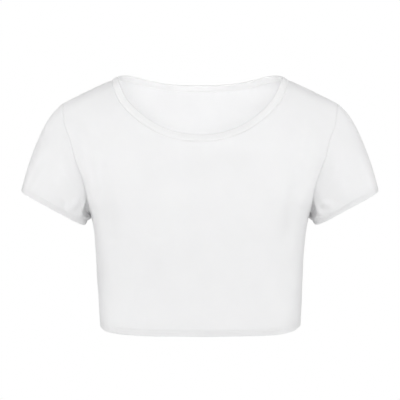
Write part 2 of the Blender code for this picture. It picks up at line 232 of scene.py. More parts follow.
@dataclass(frozen=True)
class Pattern:
    """The grid that the panels, sleeves and binding share, in steps of about 12 mm of cloth.

    Args:
        neck, shoulder: steps along the neckline and along the shoulder seam.
        side, armhole: steps along the side seam and along half the armhole.
        sleeve: steps along the sleeve.
        finer: grid lines in each step.
        near_seam: extra lines beside a seam, in steps.
    """

    neck: int = 13
    shoulder: int = 6
    side: int = 8
    armhole: int = 12
    sleeve: int = 9
    finer: int = 6
    near_seam: tuple[float, ...] = (0.035, 0.075, 0.12, 0.24)

    def lines(self, last: int) -> Array:
        """Places of the grid lines over this many steps, with the extra ones at the last."""
        even = np.linspace(0, last, last * self.finer + 1)
        return np.unique(np.concatenate([even, last - np.array(self.near_seam)]))

    def columns(self) -> Array:
        """Places of half a panel's columns, in steps from the middle to the seam."""
        return self.lines(self.neck + self.shoulder)

    def rows(self) -> Array:
        """Places of a panel's rows, in steps from above the hem to the top edge."""
        return self.lines(self.side + self.armhole)

    def shares(self) -> Array:
        """Places of a sleeve's rows as shares of the way from the armhole to its hem."""
        even = np.linspace(0, 1, self.sleeve * self.finer + 1)
        return np.unique(np.concatenate([even, np.array(self.near_seam) / self.sleeve]))


# ==== Curves and grids ====


def bell(away: Array, width: float, power: int = 2) -> Array:
    """The bell exp(-(away / width)^power), 1 where away is 0."""
    return np.exp(-((away / width) ** power))


def hermite(t: Array, start: Array, leave: Array, end: Array, arrive: Array) -> Array:
    """A cubic that leaves start one way and arrives at end another, for t from 0 to 1.

    Args:
        t: shares of the way.
        start, end: where it starts and ends.
        leave, arrive: its slopes there.

    Returns:
        (1 + 2t)(1 - t)^2 start + t (1 - t)^2 leave + t^2 (3 - 2t) end + t^2 (t - 1) arrive.
    """
    near = (1 + 2 * t) * (1 - t) ** 2 * start + t * (1 - t) ** 2 * leave
    return near + t * t * (3 - 2 * t) * end + t * t * (t - 1) * arrive


def squared_round(angle: Array, square: Array | float) -> tuple[Array, Array]:
    """Sine and cosine of a squared ellipse.

    Args:
        angle: angles t.
        square: squareness k, 0 for an ellipse.

    Returns:
        (sin t + k sin 3t) / (1 - k) and (cos t - k cos 3t) / (1 - k).
    """
    sine = (np.sin(angle) + square * np.sin(3 * angle)) / (1 - square)
    return sine, (np.cos(angle) - square * np.cos(3 * angle)) / (1 - square)


def ringed(values: Array) -> Array:
    """The values with the first one again at the end, as round a ring."""
    return np.concatenate([values, values[:1]])


def listed(rows: tuple[object, ...], name: str) -> Array:
    """One field of every row of a table."""
    return np.array([getattr(row, name) for row in rows])


def one_side(points: Array) -> Array:
    """The points with |x| for x, so that both halves of the garment read alike."""
    return np.concatenate([np.abs(points[..., :1]), points[..., 1:]], axis=-1)


def smooth_curve(knots: Array, values: Array, at: Array) -> Array:
    """Values on a smooth curve through the knots, cubic between them.

    The slopes at the knots come from their neighbours.

    Args:
        knots: increasing places of the knots.
        values: a value for each knot.
        at: places to read.

    Returns:
        The values at those places.
    """
    slopes = np.gradient(values, knots)
    index = np.clip(np.searchsorted(knots, at, side="right") - 1, 0, len(knots) - 2)
    step = knots[index + 1] - knots[index]
    t = (at - knots[index]) / step
    leave, arrive = step * slopes[index], step * slopes[index + 1]
    return hermite(t, values[index], leave, values[index + 1], arrive)


def lengths_along(points: Array) -> Array:
    """Distance along a line of points, from its start to each of them."""
    steps = np.linalg.norm(np.diff(points, axis=0), axis=-1)
    return np.concatenate([np.zeros_like(steps[:1]), np.cumsum(steps, axis=0)])


def unit(vectors: Array) -> Array:
    """The vectors at length 1."""
    return vectors / np.maximum(np.linalg.norm(vectors, axis=-1, keepdims=True), SHORTEST)


def nearest(line: Array, points: Array) -> tuple[Array, Array]:
    """Distance from each point of a grid to a line, and the length along the line there.

    The nearest of the line's points is found a column of the grid at a time. On both steps
    beside it, from a to b, t = (p - a).(b - a) / |b - a|^2 held between 0 and 1 gives the
    nearest place, and the closer of the two counts.

    Args:
        line: points of the line.
        points: the grid.

    Returns:
        The distances and the lengths along.
    """
    length = lengths_along(line)
    index = np.stack(
        [((column[:, None] - line[None]) ** 2).sum(axis=-1).argmin(axis=1) for column in points]
    )
    distance = np.full(index.shape, np.inf)
    along = np.zeros(index.shape)
    for side in (-1, 0):
        start = np.clip(index + side, 0, len(line) - 2)
        step = line[start + 1] - line[start]
        t = ((points - line[start]) * step).sum(axis=-1) / (step**2).sum(axis=-1)
        t = np.clip(t, 0, 1)
        away = np.linalg.norm(points - line[start] - t[..., None] * step, axis=-1)
        along = np.where(away < distance, length[start] + t * (length[start + 1] - length[start]), along)
        distance = np.minimum(away, distance)
    return distance, along


def soft_step(values: Array) -> Array:
    """The smooth step 3 t^2 - 2 t^3 of values held between 0 and 1."""
    t = np.clip(values, 0, 1)
    return t * t * (3 - 2 * t)


def grid_normals(points: Array, closed: bool) -> Array:
    """Normals of a grid: the cross product of its steps along columns and along rows.

    Args:
        points: grid of columns by rows of points.
        closed: whether the columns close into a ring.

    Returns:
        A unit normal for each point.
    """
    if closed:
        along = np.roll(points, -1, axis=0) - np.roll(points, 1, axis=0)
    else:
        along = np.gradient(points, axis=0)
    return unit(np.cross(unit(along), unit(np.gradient(points, axis=1))))


def shared_normals(grids: list[Array], normals: list[Array]) -> list[Array]:
    """Normals that are one where pieces meet at a seam: the unit sum of those that meet.

    Args:
        grids: the pieces' grids of points.
        normals: their own normals.

    Returns:
        The shared normals, a grid for each piece.
    """
    points = np.concatenate([grid.reshape(-1, 3) for grid in grids])
    own = np.concatenate([normal.reshape(-1, 3) for normal in normals])
    keys = np.round(points / SAME_POINT).astype(np.int64)
    _, group = np.unique(keys, axis=0, return_inverse=True)
    group = group.reshape(-1)
    total = np.zeros((group.max() + 1, 3))
    np.add.at(total, group, own)
    ends = np.cumsum([grid[..., 0].size for grid in grids])[:-1]
    parts = np.split(unit(total[group]), ends)
    return [part.reshape(grid.shape) for part, grid in zip(parts, grids)]


def quad_mesh(name: str, points: Array, quads: Array, uv: Array) -> Object:
    """An object whose mesh holds these points and four-sided faces.

    Args:
        name: the object's name.
        points: N by 3 places.
        quads: M by 4 indices.
        uv: M by 4 by 2 coordinates of the faces' corners.

    Returns:
        The new object, at the origin.
    """
    mesh = bpy.data.meshes.new(name)
    mesh.vertices.add(len(points))
    mesh.vertices.foreach_set("co", points.astype(np.float32).ravel())
    mesh.loops.add(quads.size)
    mesh.loops.foreach_set("vertex_index", quads.astype(np.int32).ravel())
    mesh.polygons.add(len(quads))
    mesh.polygons.foreach_set("loop_start", np.arange(0, quads.size, 4, dtype=np.int32))
    mesh.uv_layers.new(name=UV_NAME).data.foreach_set("uv", uv.astype(np.float32).ravel())
    mesh.update(calc_edges=True)
    mesh.validate()
    mesh.shade_smooth()
    mesh.set_sharp_from_angle(angle=SHARP_ANGLE)
    obj = bpy.data.objects.new(name, mesh)
    bpy.context.scene.collection.objects.link(obj)
    return obj


def corners(index: Array) -> Array:
    """The four corners of every cell of a grid of indices, as rows of four."""
    cells = [index[:-1, :-1], index[1:, :-1], index[1:, 1:], index[:-1, 1:]]
    return np.stack(cells, axis=-1).reshape(-1, 4)


def rim(edge: Array, under: int) -> Array:
    """Faces from an edge of the outer skin to the same edge of the inner skin."""
    starts, ends = edge[:-1], edge[1:]
    return np.stack([ends, starts, starts + under, ends + under], axis=-1)


def cloth_shell(
    name: str, middle: Array, normals: Array, thickness: float, uv: Array, closed: bool
) -> Object:
    """A closed shell of cloth: its middle surface moved half a thickness out and in, and a rim.

    Args:
        name: the object's name.
        middle: grid of columns by rows of points in the middle of the cloth.
        normals: the way out at each, longer than 1 where a corner is mitred.
        thickness: the cloth's thickness.
        uv: flat place of each point in metres, with one more column where the grid is closed.
        closed: whether the columns close into a ring.

    Returns:
        The object.
    """
    columns, rows = middle.shape[:2]
    half = normals * thickness / 2
    points = np.concatenate([(middle + half).reshape(-1, 3), (middle - half).reshape(-1, 3)])
    under = columns * rows
    index = np.arange(under).reshape(columns, rows)
    flat_index = np.arange(uv.shape[0] * rows).reshape(-1, rows)
    if closed:
        index = ringed(index)
        edges = [(index[:, 0], flat_index[:, 0]), (index[::-1, -1], flat_index[::-1, -1])]
    else:
        edges = [(outline(index), outline(flat_index))]
    skin = corners(index)
    flat_skin = corners(flat_index)
    quads = [skin, skin[:, ::-1] + under]
    flats = [flat_skin, flat_skin[:, ::-1]]
    for edge, flat_edge in edges:
        quads.append(rim(edge, under))
        flats.append(rim(flat_edge, 0))
    return quad_mesh(name, points, np.concatenate(quads), uv.reshape(-1, 2)[np.concatenate(flats)])


def outline(index: Array) -> Array:
    """The indices round the four edges of an open grid, back to the start."""
    return np.concatenate([index[:, 0], index[-1, 1:], index[-2::-1, -1], index[0, -2::-1]])


def turned_up(outer: Array, normals: Array, heights: Array, hem: Hem) -> Array:
    """The cloth with its hem turned up inside.

    Outer rows near the fold lie d(h) inside the surface and the turned-up rows 2 r - d(h), where
    d is the hem's depth round its fold and r its radius.

    Args:
        outer: grid of the outer surface, its rows from the fold up.
        normals: the way out at each point.
        heights: heights above the fold of the rows that the hem holds.
        hem: the hem.

    Returns:
        Grid whose rows run from the raw edge inside, down round the fold and up the outside.
    """
    depth = np.zeros(outer.shape[1])
    depth[: len(heights)] = hem.depths(heights)
    turned = 2 * hem.fold - depth[len(heights) - 1 : 0 : -1]
    inside = outer[:, len(heights) - 1 : 0 : -1]
    inside_normals = normals[:, len(heights) - 1 : 0 : -1]
    return np.concatenate(
        [inside - inside_normals * turned[:, None], outer - normals * depth[:, None]], axis=1
    )


# ==== Folds and creases ====


@dataclass(frozen=True)
class Crease:
    """A soft ridge (rise above 0) or trough (below 0) between two places on a piece.

    On a panel a place is x and z as seen from the front. On a sleeve it is the turn round it,
    from the shoulder (0) down the front to under the arm (1) and up the back (2), and the share
    of the way from the armhole (0) to the hem (1).
    """

    start: Flat
    end: Flat
    width: float
    rise: float
    bow: float = 0.0
    eased: bool = True

    def height(self, places: Array, scale: Array | float = 1.0) -> Array:
        """Height of the crease.

        With s the share of the way along it, 0 to 1, and d the distance from its line, which
        bows out by bow sin(pi s), this is rise exp(-(d / width)^2), eased in and out at its
        ends if the crease is eased.

        Args:
            places: places of the grid's points.
            scale: metres to one unit of each coordinate.

        Returns:
            The height at each point, in metres.
        """
        start = np.array(self.start) * scale
        along = np.array(self.end) * scale - start
        length = np.linalg.norm(along)
        direction = along / length
        across = np.array([-direction[1], direction[0]])
        past = places * scale - start
        share = past @ direction / length
        away = past @ across - self.bow * np.sin(pi * np.clip(share, 0, 1))
        beyond = (share - np.clip(share, 0, 1)) * length
        height = self.rise * bell(np.hypot(away, beyond), self.width)
        begins, ends = (soft_step(0.5 + way / (2 * CREASE_EASE)) for way in (share, 1 - share))
        return height * begins * ends if self.eased else height


@dataclass(frozen=True)
class DrawnSeam:
    """How far the armhole seam is drawn in where the sleeve turns down.

    Args:
        depth: the most that it is drawn in.
        middle, half: height of that place and half the length of seam that is drawn in.
        body_width, sleeve_width: how far that reaches into the panel and into the sleeve.
    """

    depth: float = 0.0045
    middle: float = -0.157
    half: float = 0.048
    body_width: float = 0.0018
    sleeve_width: float = 0.0128

    def height(self, edge: Array, distance: Array, along: Array, width: float) -> Array:
        """Height -depth (1 - h^2)^2 exp(-(d / width)^2), with d the distance from the seam.

        Args:
            edge: points of the seam, whose height from the middle over half its length is h.
            distance, along: distance to the seam and the length along it, for each grid point.
            width: how far it reaches.

        Returns:
            The height at each point, in metres.
        """
        place = np.interp(along, lengths_along(edge), edge[:, 2])
        window = np.clip(1 - ((place - self.middle) / self.half) ** 2, 0, 1) ** 2
        return -self.depth * window * bell(distance, width)


@dataclass(frozen=True)
class PanelFold(Crease):
    """A large fold of a panel, alike on both halves, its places |x| and z."""

    eased: bool = False


@dataclass(frozen=True)
class SleeveFold:
    """A large fold along a sleeve: its turn, the shares that it runs between, width in turns."""

    turn: float
    start: float
    end: float
    width: float
    rise: float

    def height(self, turn: Array, share: Array, ease: float) -> Array:
        """Height rise exp(-(d / width)^2), eased in and out where it starts and ends.

        Args:
            turn: turn of each column.
            share: share of each point.
            ease: share over which it rises and falls.

        Returns:
            The height at each point, in metres.
        """
        away = np.abs((turn[:, None] - self.turn + 1) % 2 - 1)
        begins = np.clip((share - self.start) / ease + 0.5, 0, 1)
        ends = np.clip((self.end - share) / ease + 0.5, 0, 1)
        return self.rise * bell(away, self.width) * begins * ends


FRONT_FOLDS = (
    PanelFold((0.170, -0.090), (0.153, -0.186), 0.0105, 0.0020),
    PanelFold((0.146, -0.130), (0.130, -0.235), 0.0130, -0.0040),
    PanelFold((0.120, -0.215), (0.118, -0.330), 0.0160, -0.0015),
)
BACK_FOLDS = (
    PanelFold((0.168, -0.085), (0.150, -0.180), 0.0100, 0.0030),
    PanelFold((0.142, -0.120), (0.124, -0.230), 0.0135, -0.0030),
    PanelFold((0.108, -0.215), (0.110, -0.330), 0.0170, -0.0018),
)
SLEEVE_FOLDS = (
    SleeveFold(0.34, 0.30, 0.95, 0.060, -0.0018),
    SleeveFold(0.50, 0.20, 0.80, 0.075, 0.0022),
    SleeveFold(0.74, 0.15, 0.70, 0.060, -0.0008),
    SleeveFold(1.28, 0.15, 0.75, 0.065, -0.0026),
    SleeveFold(1.52, 0.25, 0.90, 0.080, 0.0018),
)

# Creases of the front: from the armholes towards the bust, under the bust, then down to the hem
FRONT_CREASES = (
    Crease((-0.160, -0.180), (-0.126, -0.168), 0.0060, -0.0005, 0.003),
    Crease((-0.156, -0.200), (-0.124, -0.204), 0.0070, -0.0006, 0.003),
    Crease((-0.150, -0.232), (-0.124, -0.272), 0.0075, -0.0007, -0.003),
    Crease((0.161, -0.176), (0.133, -0.160), 0.0062, -0.0005, -0.003),
    Crease((0.157, -0.198), (0.120, -0.196), 0.0070, -0.0007, -0.003),
    Crease((0.149, -0.238), (0.129, -0.282), 0.0070, -0.0007, 0.003),
    Crease((-0.172, -0.070), (-0.148, -0.100), 0.0080, -0.0009, 0.002),
    Crease((0.174, -0.066), (0.146, -0.104), 0.0085, -0.0010, -0.002),
    Crease((-0.0815, -0.2205), (-0.0510, -0.2330), 0.0070, -0.0007, -0.003),
    Crease((0.0630, -0.2335), (0.0895, -0.2350), 0.0065, -0.0007, -0.003),
    Crease((-0.074, -0.262), (-0.096, -0.352), 0.0110, -0.0009, 0.004),
    Crease((0.066, -0.285), (0.090, -0.358), 0.0100, -0.0008, -0.003),
    Crease((-0.018, -0.318), (-0.030, -0.366), 0.0085, 0.0006, 0.002),
    Crease((-0.004, -0.343), (0.015, -0.351), 0.0050, -0.0006, 0.001),
)

# Creases of the back: below the shoulder blades, from the armholes, and down to the hem
BACK_CREASES = (
    Crease((-0.160, -0.176), (-0.116, -0.158), 0.0056, -0.0013, -0.004),
    Crease((-0.157, -0.200), (-0.098, -0.206), 0.0068, -0.0015, 0.005),
    Crease((-0.150, -0.236), (-0.112, -0.268), 0.0070, -0.0010, 0.003),
    Crease((0.161, -0.170), (0.124, -0.150), 0.0054, -0.0012, 0.003),
    Crease((0.157, -0.198), (0.105, -0.212), 0.0072, -0.0016, -0.005),
    Crease((0.150, -0.244), (0.120, -0.285), 0.0066, -0.0009, -0.003),
    Crease((-0.060, -0.215), (-0.046, -0.330), 0.0130, -0.0014, 0.006),
    Crease((0.050, -0.232), (0.058, -0.345), 0.0125, -0.0013, -0.005),
    Crease((-0.012, -0.250), (-0.004, -0.352), 0.0150, 0.0010, 0.004),
    Crease((-0.090, -0.060), (-0.052, -0.092), 0.0095, -0.0009, 0.004),
    Crease((0.094, -0.058), (0.050, -0.088), 0.0090, -0.0008, -0.004),
)

# Creases of the wearer's right sleeve and left sleeve, front side first and back side after
RIGHT_SLEEVE_CREASES = (
    Crease((0.56, 0.66), (0.58, 0.86), 0.0032, -0.0013),
    Crease((0.60, 0.82), (0.66, 0.42), 0.0044, 0.0014, 0.002),
    Crease((0.70, 0.30), (0.84, 0.62), 0.0038, -0.0012, 0.002),
    Crease((0.26, 0.46), (0.25, 0.92), 0.0075, -0.0020, 0.001),
    Crease((0.44, 0.22), (0.46, 0.50), 0.0070, 0.0006),
    Crease((1.20, 0.26), (1.10, 0.66), 0.0042, -0.0012, 0.002),
    Crease((1.40, 0.30), (1.34, 0.84), 0.0060, -0.0011, -0.003),
    Crease((1.66, 0.30), (1.70, 0.74), 0.0075, -0.0009),
)
LEFT_SLEEVE_CREASES = (
    Crease((0.58, 0.84), (0.65, 0.50), 0.0042, 0.0013),
    Crease((0.66, 0.72), (0.72, 0.44), 0.0034, -0.0012, 0.002),
    Crease((0.78, 0.66), (0.88, 0.86), 0.0040, -0.0010, -0.001),
    Crease((0.25, 0.50), (0.27, 0.96), 0.0070, -0.0016, -0.002),
    Crease((0.50, 0.56), (0.47, 0.84), 0.0066, 0.0007),
    Crease((1.16, 0.22), (1.08, 0.58), 0.0040, -0.0013, -0.002),
    Crease((1.44, 0.26), (1.36, 0.76), 0.0064, -0.0012, 0.003),
    Crease((1.62, 0.42), (1.64, 0.86), 0.0070, -0.0008),
)

# Tucks beside the armpit and the sag under it, their places |x| and z as seen from the front:
# the lip beside the armpit, the pocket behind it, and a soft ridge
RIGHT_TUCKS = (
    Crease((0.1690, -0.1860), (0.1765, -0.2060), 0.0034, 0.0030),
    Crease((0.1620, -0.1900), (0.1690, -0.2090), 0.0044, -0.0066, 0.001),
    Crease((0.1800, -0.1830), (0.1860, -0.1960), 0.0046, 0.0012),
)
LEFT_TUCKS = (
    Crease((0.1688, -0.1870), (0.1760, -0.2050), 0.0035, 0.0030),
    Crease((0.1620, -0.1895), (0.1688, -0.2085), 0.0044, -0.0062, 0.001),
    Crease((0.1815, -0.1850), (0.1930, -0.1900), 0.0044, 0.0012),
)
DRAWN = DrawnSeam()
SAG = Crease((0.1655, -0.2105), (0.1690, -0.2185), 0.0045, 0.0052)


@dataclass(frozen=True)
class Wave:
    """A slow slanting wave of loose cloth, height sin(2 pi (x / across + y / up) + start)."""

    height: float
    across: float
    up: float
    start: float


SLACK_WAVES = (
    Wave(0.00030, 0.094, 0.210, 0.7),
    Wave(0.00022, 0.061, -0.120, 2.1),
    Wave(0.00012, 0.038, 0.071, 4.0),
)


def slack(across: Array, up: Array) -> Array:
    """The slow unevenness of jersey that hangs free, up to about 0.6 mm: the sum of the waves."""
    return sum(
        wave.height * np.sin(2 * pi * (across / wave.across + up / wave.up) + wave.start)
        for wave in SLACK_WAVES
    )


# ==== The worn form ====


@dataclass(frozen=True)
class Level:
    """A level of the torso form, near that of the solids.

    Here the underarm is narrower, and from there to the yoke the armhole seams lie further in.

    Args:
        name: the level's name.
        height: z at the middle of the body.
        form_half: half width of the whole form, the arms' roots included.
        seam_half: half width at the side seam, and at the armhole seam above the underarm.
        front, back: depth from the side seams' plane to the middle front and middle back.
        drop: share of the shoulder slope that this level follows.
        square: squareness of the section, 0 for an ellipse.
    """

    name: str
    height: float
    form_half: float
    seam_half: float
    front: float
    back: float
    drop: float
    square: float


LEVELS = (
    Level("hem", -0.3768, 0.1508, 0.1508, 0.1010, 0.0830, 0.00, 0.070),
    Level("waist", -0.3180, 0.1532, 0.1532, 0.1035, 0.0830, 0.00, 0.062),
    Level("ribs", -0.2620, 0.1562, 0.1562, 0.1095, 0.0880, 0.00, 0.050),
    Level("underarm", -0.2070, 0.1638, 0.1638, 0.1145, 0.0940, 0.00, 0.043),
    Level("bust", -0.1640, 0.1835, 0.1678, 0.1120, 0.0985, 0.02, 0.038),
    Level("chest", -0.1220, 0.2030, 0.1814, 0.0985, 0.0990, 0.14, 0.034),
    Level("yoke", -0.0790, 0.2150, 0.1895, 0.0785, 0.0925, 0.46, 0.030),
    Level("collarbone", -0.0380, 0.2240, 0.1990, 0.0560, 0.0750, 0.82, 0.026),
    Level("crest", -0.0075, 0.2290, 0.2025, 0.0300, 0.0500, 0.98, 0.024),
    Level("ridge", 0.0015, 0.2300, 0.2035, 0.0000, 0.0000, 1.00, 0.024),
)


@dataclass
class TorsoForm:
    """The worn form that the panels lie on.

    A place on it is an angle round its section, from the middle of the panel, and a level: the
    length of cloth up from the hem. Levels past the ridge of the shoulders are on the back.

    Args:
        levels: the table of levels from the hem up.
        slope, slope_starts, slope_ease: fall of the shoulders for each metre outwards, the half
            width at which it sets in, and the ease round that.
        side_raise, side_power, side_reach: rise of the hem towards the side seams, the power of
            the angle that it follows, and the share of the way to the underarm that it reaches.
    """

    levels: tuple[Level, ...] = LEVELS
    slope: float = 0.520
    slope_starts: float = 0.1170
    slope_ease: float = 0.028
    side_raise: float = 0.0085
    side_power: float = 3.5
    side_reach: float = 0.9
    top: float = field(init=False)
    underarm: float = field(init=False)
    knots: Array = field(init=False)
    table: dict[str, Array] = field(init=False)

    def __post_init__(self) -> None:
        """Works out the length of cloth up to each level and mirrors the table to the back."""
        height, front, back = (listed(self.levels, name) for name in ("height", "front", "back"))
        up = lengths_along(np.column_stack([height, (front + back) / 2]))
        self.top = float(up[-1])
        self.underarm = float(up[list(listed(self.levels, "name")).index("underarm")])
        self.knots = np.concatenate([up, 2 * self.top - up[-2::-1]])
        self.table = {"depth": np.concatenate([-front, back[-2::-1]])}
        for name in ("height", "form_half", "seam_half", "drop", "square"):
            values = listed(self.levels, name)
            self.table[name] = np.concatenate([values, values[-2::-1]])

    def column(self, name: str, level: Array) -> Array:
        """A column of the table, read between its rows."""
        return smooth_curve(self.knots, self.table[name], level)

    def from_hem(self, level: Array) -> Array:
        """Length of cloth from a level to the nearer hem, the front's or the back's."""
        return np.minimum(level, 2 * self.top - level)

    def edge_angle(self, level: Array) -> Array:
        """Angle round the section at which it reaches the side or armhole seam.

        The sine s solves s (1 + 3k) - 4k s^3 = reach (1 - k) by Newton's method, with k the
        squareness and reach the seam's share of the form's half width.

        Args:
            level: levels.

        Returns:
            The angles in radians.
        """
        square = self.column("square", level)
        below = self.from_hem(level) <= self.underarm
        reach = self.column("seam_half", level) / self.column("form_half", level)
        reach = np.where(below, 1.0, np.minimum(reach, 1.0))
        sine = reach.copy()
        for _ in range(NEWTON_ROUNDS):
            value = (sine * (1 + 3 * square) - 4 * square * sine**3) / (1 - square)
            slope = (1 + 3 * square - 12 * square * sine**2) / (1 - square)
            sine = np.clip(sine - (value - reach) / slope, 0.0, 1.0)
        return np.where(reach >= 1.0, pi / 2, np.arcsin(sine))

    def points(self, angle: Array, level: Array) -> Array:
        """Places in space.

        A section is a squared ellipse. Its height falls with the shoulder slope beyond the neck,
        along a softened ramp, and rises near the hem with a power of the angle.

        Args:
            angle: angles t round the section.
            level: levels.

        Returns:
            The points.
        """
        angle, level = np.broadcast_arrays(np.asarray(angle, float), np.asarray(level, float))
        wide, deep = squared_round(angle, self.column("square", level))
        x = self.column("form_half", level) * wide
        y = self.column("depth", level) * deep
        past = np.abs(x) - self.slope_starts
        ramp = (past + np.sqrt(past**2 + self.slope_ease**2)) / 2
        z = self.column("height", level) - self.column("drop", level) * self.slope * ramp
        near_hem = np.clip(1 - self.from_hem(level) / (self.underarm * self.side_reach), 0, 1)
        z = z + self.side_raise * near_hem**2 * (angle / (pi / 2)) ** self.side_power
        return np.stack([x, y, z], axis=-1)

    def level_of(self, drop: float, side: Side) -> float:
        """Level at which the middle of a panel lies this far below the ridge."""
        fine = np.linspace(self.underarm, self.top, FINE)
        fine = 2 * self.top - fine if side is Side.BACK else fine
        return float(np.interp(-drop, self.points(0.0, fine)[:, 2], fine))


# ==== Panels ====


@dataclass(kw_only=True)
class Piece:
    """A cut piece of jersey on the worn form.

    Args:
        cut: its flat cut, not used.
        cloth, pattern: its jersey and its grid.
    """

    cut: Cut
    cloth: Cloth = Cloth()
    pattern: Pattern = Pattern()
    surface: Array = field(init=False)
    normals: Array = field(init=False)
    shared: Array = field(init=False)
    outer: Array = field(init=False)

    def relief(self) -> Array:
        """Height of the laid surface over the form at each point, in metres."""
        raise NotImplementedError

    def lay(self, shared: Array) -> None:
        """Moves the surface out by its relief, along normals that are one at seams."""
        self.shared = shared
        self.outer = self.surface + shared * self.relief()[..., None]


@dataclass(kw_only=True)
class Panel(Piece):
    """The front or the back of the body, cut in one piece, with its hem turned up.

    Args:
        side: which panel it is.
        form: the worn form.
        neck_drop: fall of the neckline at the middle.
        scoop: powers of the rounded neckline across and up, 2 for an ellipse.
        folds: its large folds, near those of the solids.
        creases: its main creases.
        neck_half_width: half width of the neckline on the shoulder ridge.
        fold_fade: length over which folds and creases fade out at a seam.
    """

    side: Side
    form: TorsoForm
    neck_drop: float
    scoop: tuple[float, float]
    folds: tuple[PanelFold, ...]
    creases: tuple[Crease, ...]
    neck_half_width: float = 0.1305
    fold_fade: float = 0.014
    hem: Hem = Hem()
    heights: Array = field(init=False)
    across: Array = field(init=False)
    up: Array = field(init=False)

    def __post_init__(self) -> None:
        """Lays the panel's outer grid on the form, its normals pointing out."""
        self.heights = self.hem.heights()
        angle, level = self.half_grid()
        half = self.form.points(angle, level)
        self.surface = np.concatenate([half[:0:-1] * MIRROR, half])
        section = angle[..., None] * np.linspace(0, 1, SECTION_STEPS)
        section = self.form.points(section, level[..., None])
        across = np.linalg.norm(np.diff(section, axis=2), axis=-1).sum(axis=-1)
        self.across = np.concatenate([-across[:0:-1], across])
        self.up = self.form.from_hem(np.concatenate([level[:0:-1], level]))
        self.normals = self.side.way * grid_normals(self.surface, False)

    @property
    def name(self) -> str:
        """The panel's node."""
        return self.side.value

    @property
    def underarm_row(self) -> int:
        """Row of the grid that ends at the underarm."""
        return len(self.heights) + int(np.searchsorted(self.pattern.rows(), self.pattern.side))

    @property
    def neck_columns(self) -> slice:
        """Columns of the grid that end at the neckline."""
        middle = len(self.pattern.columns()) - 1
        reach = self.pattern.neck * self.pattern.finer
        return slice(middle - reach, middle + reach + 1)

    def neck_facing(self) -> Array:
        """The way out along the neckline, taken across a whole step of the pattern."""
        step, reach = self.pattern.finer, self.neck_columns
        top = self.surface[:, -1]
        along = top[reach.start + step : reach.stop + step] - top[reach.start - step : reach.stop - step]
        below = self.surface[reach, -1 - step - len(self.pattern.near_seam)]
        return unit(self.side.way * np.cross(unit(along), unit(top[reach] - below)))

    def side_of(self, level: Array) -> Array:
        """Levels up from the front's hem, for levels up from this panel's own hem."""
        return 2 * self.form.top - level if self.side is Side.BACK else level

    def top_edge(self) -> tuple[Array, Array]:
        """The neckline from the middle to the shoulder, then the shoulder seam.

        As a share of the angle at the seams, the neckline is s sin(t)^(2/p), at the level
        ridge + (lowest - ridge) cos(t)^(2/q), read at even lengths. The shoulder seam is the
        ridge in even shares.

        Returns:
            Angle and level of each column's top.
        """
        steps = self.pattern.columns()
        lowest = self.form.level_of(self.neck_drop, self.side)
        fine = np.linspace(0, 1, FINE)
        ridge_x = self.form.points(fine * self.form.edge_angle(self.form.top), self.form.top)[:, 0]
        neck_share = float(np.interp(self.neck_half_width, ridge_x, fine))

        def scoop(turn: Array) -> tuple[Array, Array]:
            """Share and level at a turn, 0 at the middle and 1 at the shoulder."""
            sine, cosine = np.sin(turn * pi / 2), np.maximum(np.cos(turn * pi / 2), 0)
            share = neck_share * sine ** (2 / self.scoop[0])
            return share, self.form.top + (lowest - self.form.top) * cosine ** (2 / self.scoop[1])

        share, level = scoop(fine)
        length = lengths_along(self.form.points(share * self.form.edge_angle(level), level))
        on_neck = np.clip(steps / self.pattern.neck, 0, 1)
        share, level = scoop(np.interp(on_neck * length[-1], length, fine))
        past = np.clip((steps - self.pattern.neck) / self.pattern.shoulder, 0, 1)
        on_shoulder = steps >= self.pattern.neck
        share = np.where(on_shoulder, neck_share + (1 - neck_share) * past, share)
        level = np.where(on_shoulder, self.form.top, level)
        return share * self.form.edge_angle(level), level

    def edge_levels(self, lowest: float) -> tuple[Array, Array]:
        """Levels of the grid's rows at the middle and at the outer edge, from the hem up."""
        form = self.form
        steps = self.pattern.rows()
        start = self.hem.depth + self.hem.step
        side = start + (form.underarm - start) * steps / self.pattern.side
        fine = np.linspace(form.underarm, form.top, FINE)
        up_seam = self.side_of(fine)
        length = lengths_along(form.points(form.edge_angle(up_seam), up_seam))
        up_arm = np.clip((steps - self.pattern.side) / self.pattern.armhole, 0, 1)
        arm = np.interp(up_arm * length[-1], length, fine)
        outer = np.where(steps <= self.pattern.side, side, arm)
        middle = start + (lowest - start) * steps / steps[-1]
        return (
            self.side_of(np.concatenate([self.heights, middle])),
            self.side_of(np.concatenate([self.heights, outer])),
        )

    def half_grid(self) -> tuple[Array, Array]:
        """Grid of angles and levels for half the panel, a Coons blend of its four edges.

        Returns:
            Angles and levels, columns from the middle to the seam by rows from the hem up.
        """
        top_angle, top_level = self.top_edge()
        middle, outer = self.edge_levels(float(self.side_of(top_level[0])))
        columns = self.pattern.columns()
        across = (columns / columns[-1])[:, None]
        up = (
            np.abs(middle - middle[0]) / np.abs(middle[-1] - middle[0])
            + np.abs(outer - outer[0]) / np.abs(outer[-1] - outer[0])
        )[None, :] / 2
        seam = self.form.edge_angle(outer)
        angle = (
            (1 - up) * across * seam[0]
            + up * top_angle[:, None]
            + across * seam[None, :]
            - across * ((1 - up) * seam[0] + up * seam[-1])
        )
        level = (
            (1 - up) * middle[0]
            + up * top_level[:, None]
            + (1 - across) * middle[None, :]
            + across * outer[None, :]
            - (1 - across) * ((1 - up) * middle[0] + up * middle[-1])
            - across * ((1 - up) * outer[0] + up * outer[-1])
        )
        return angle, level

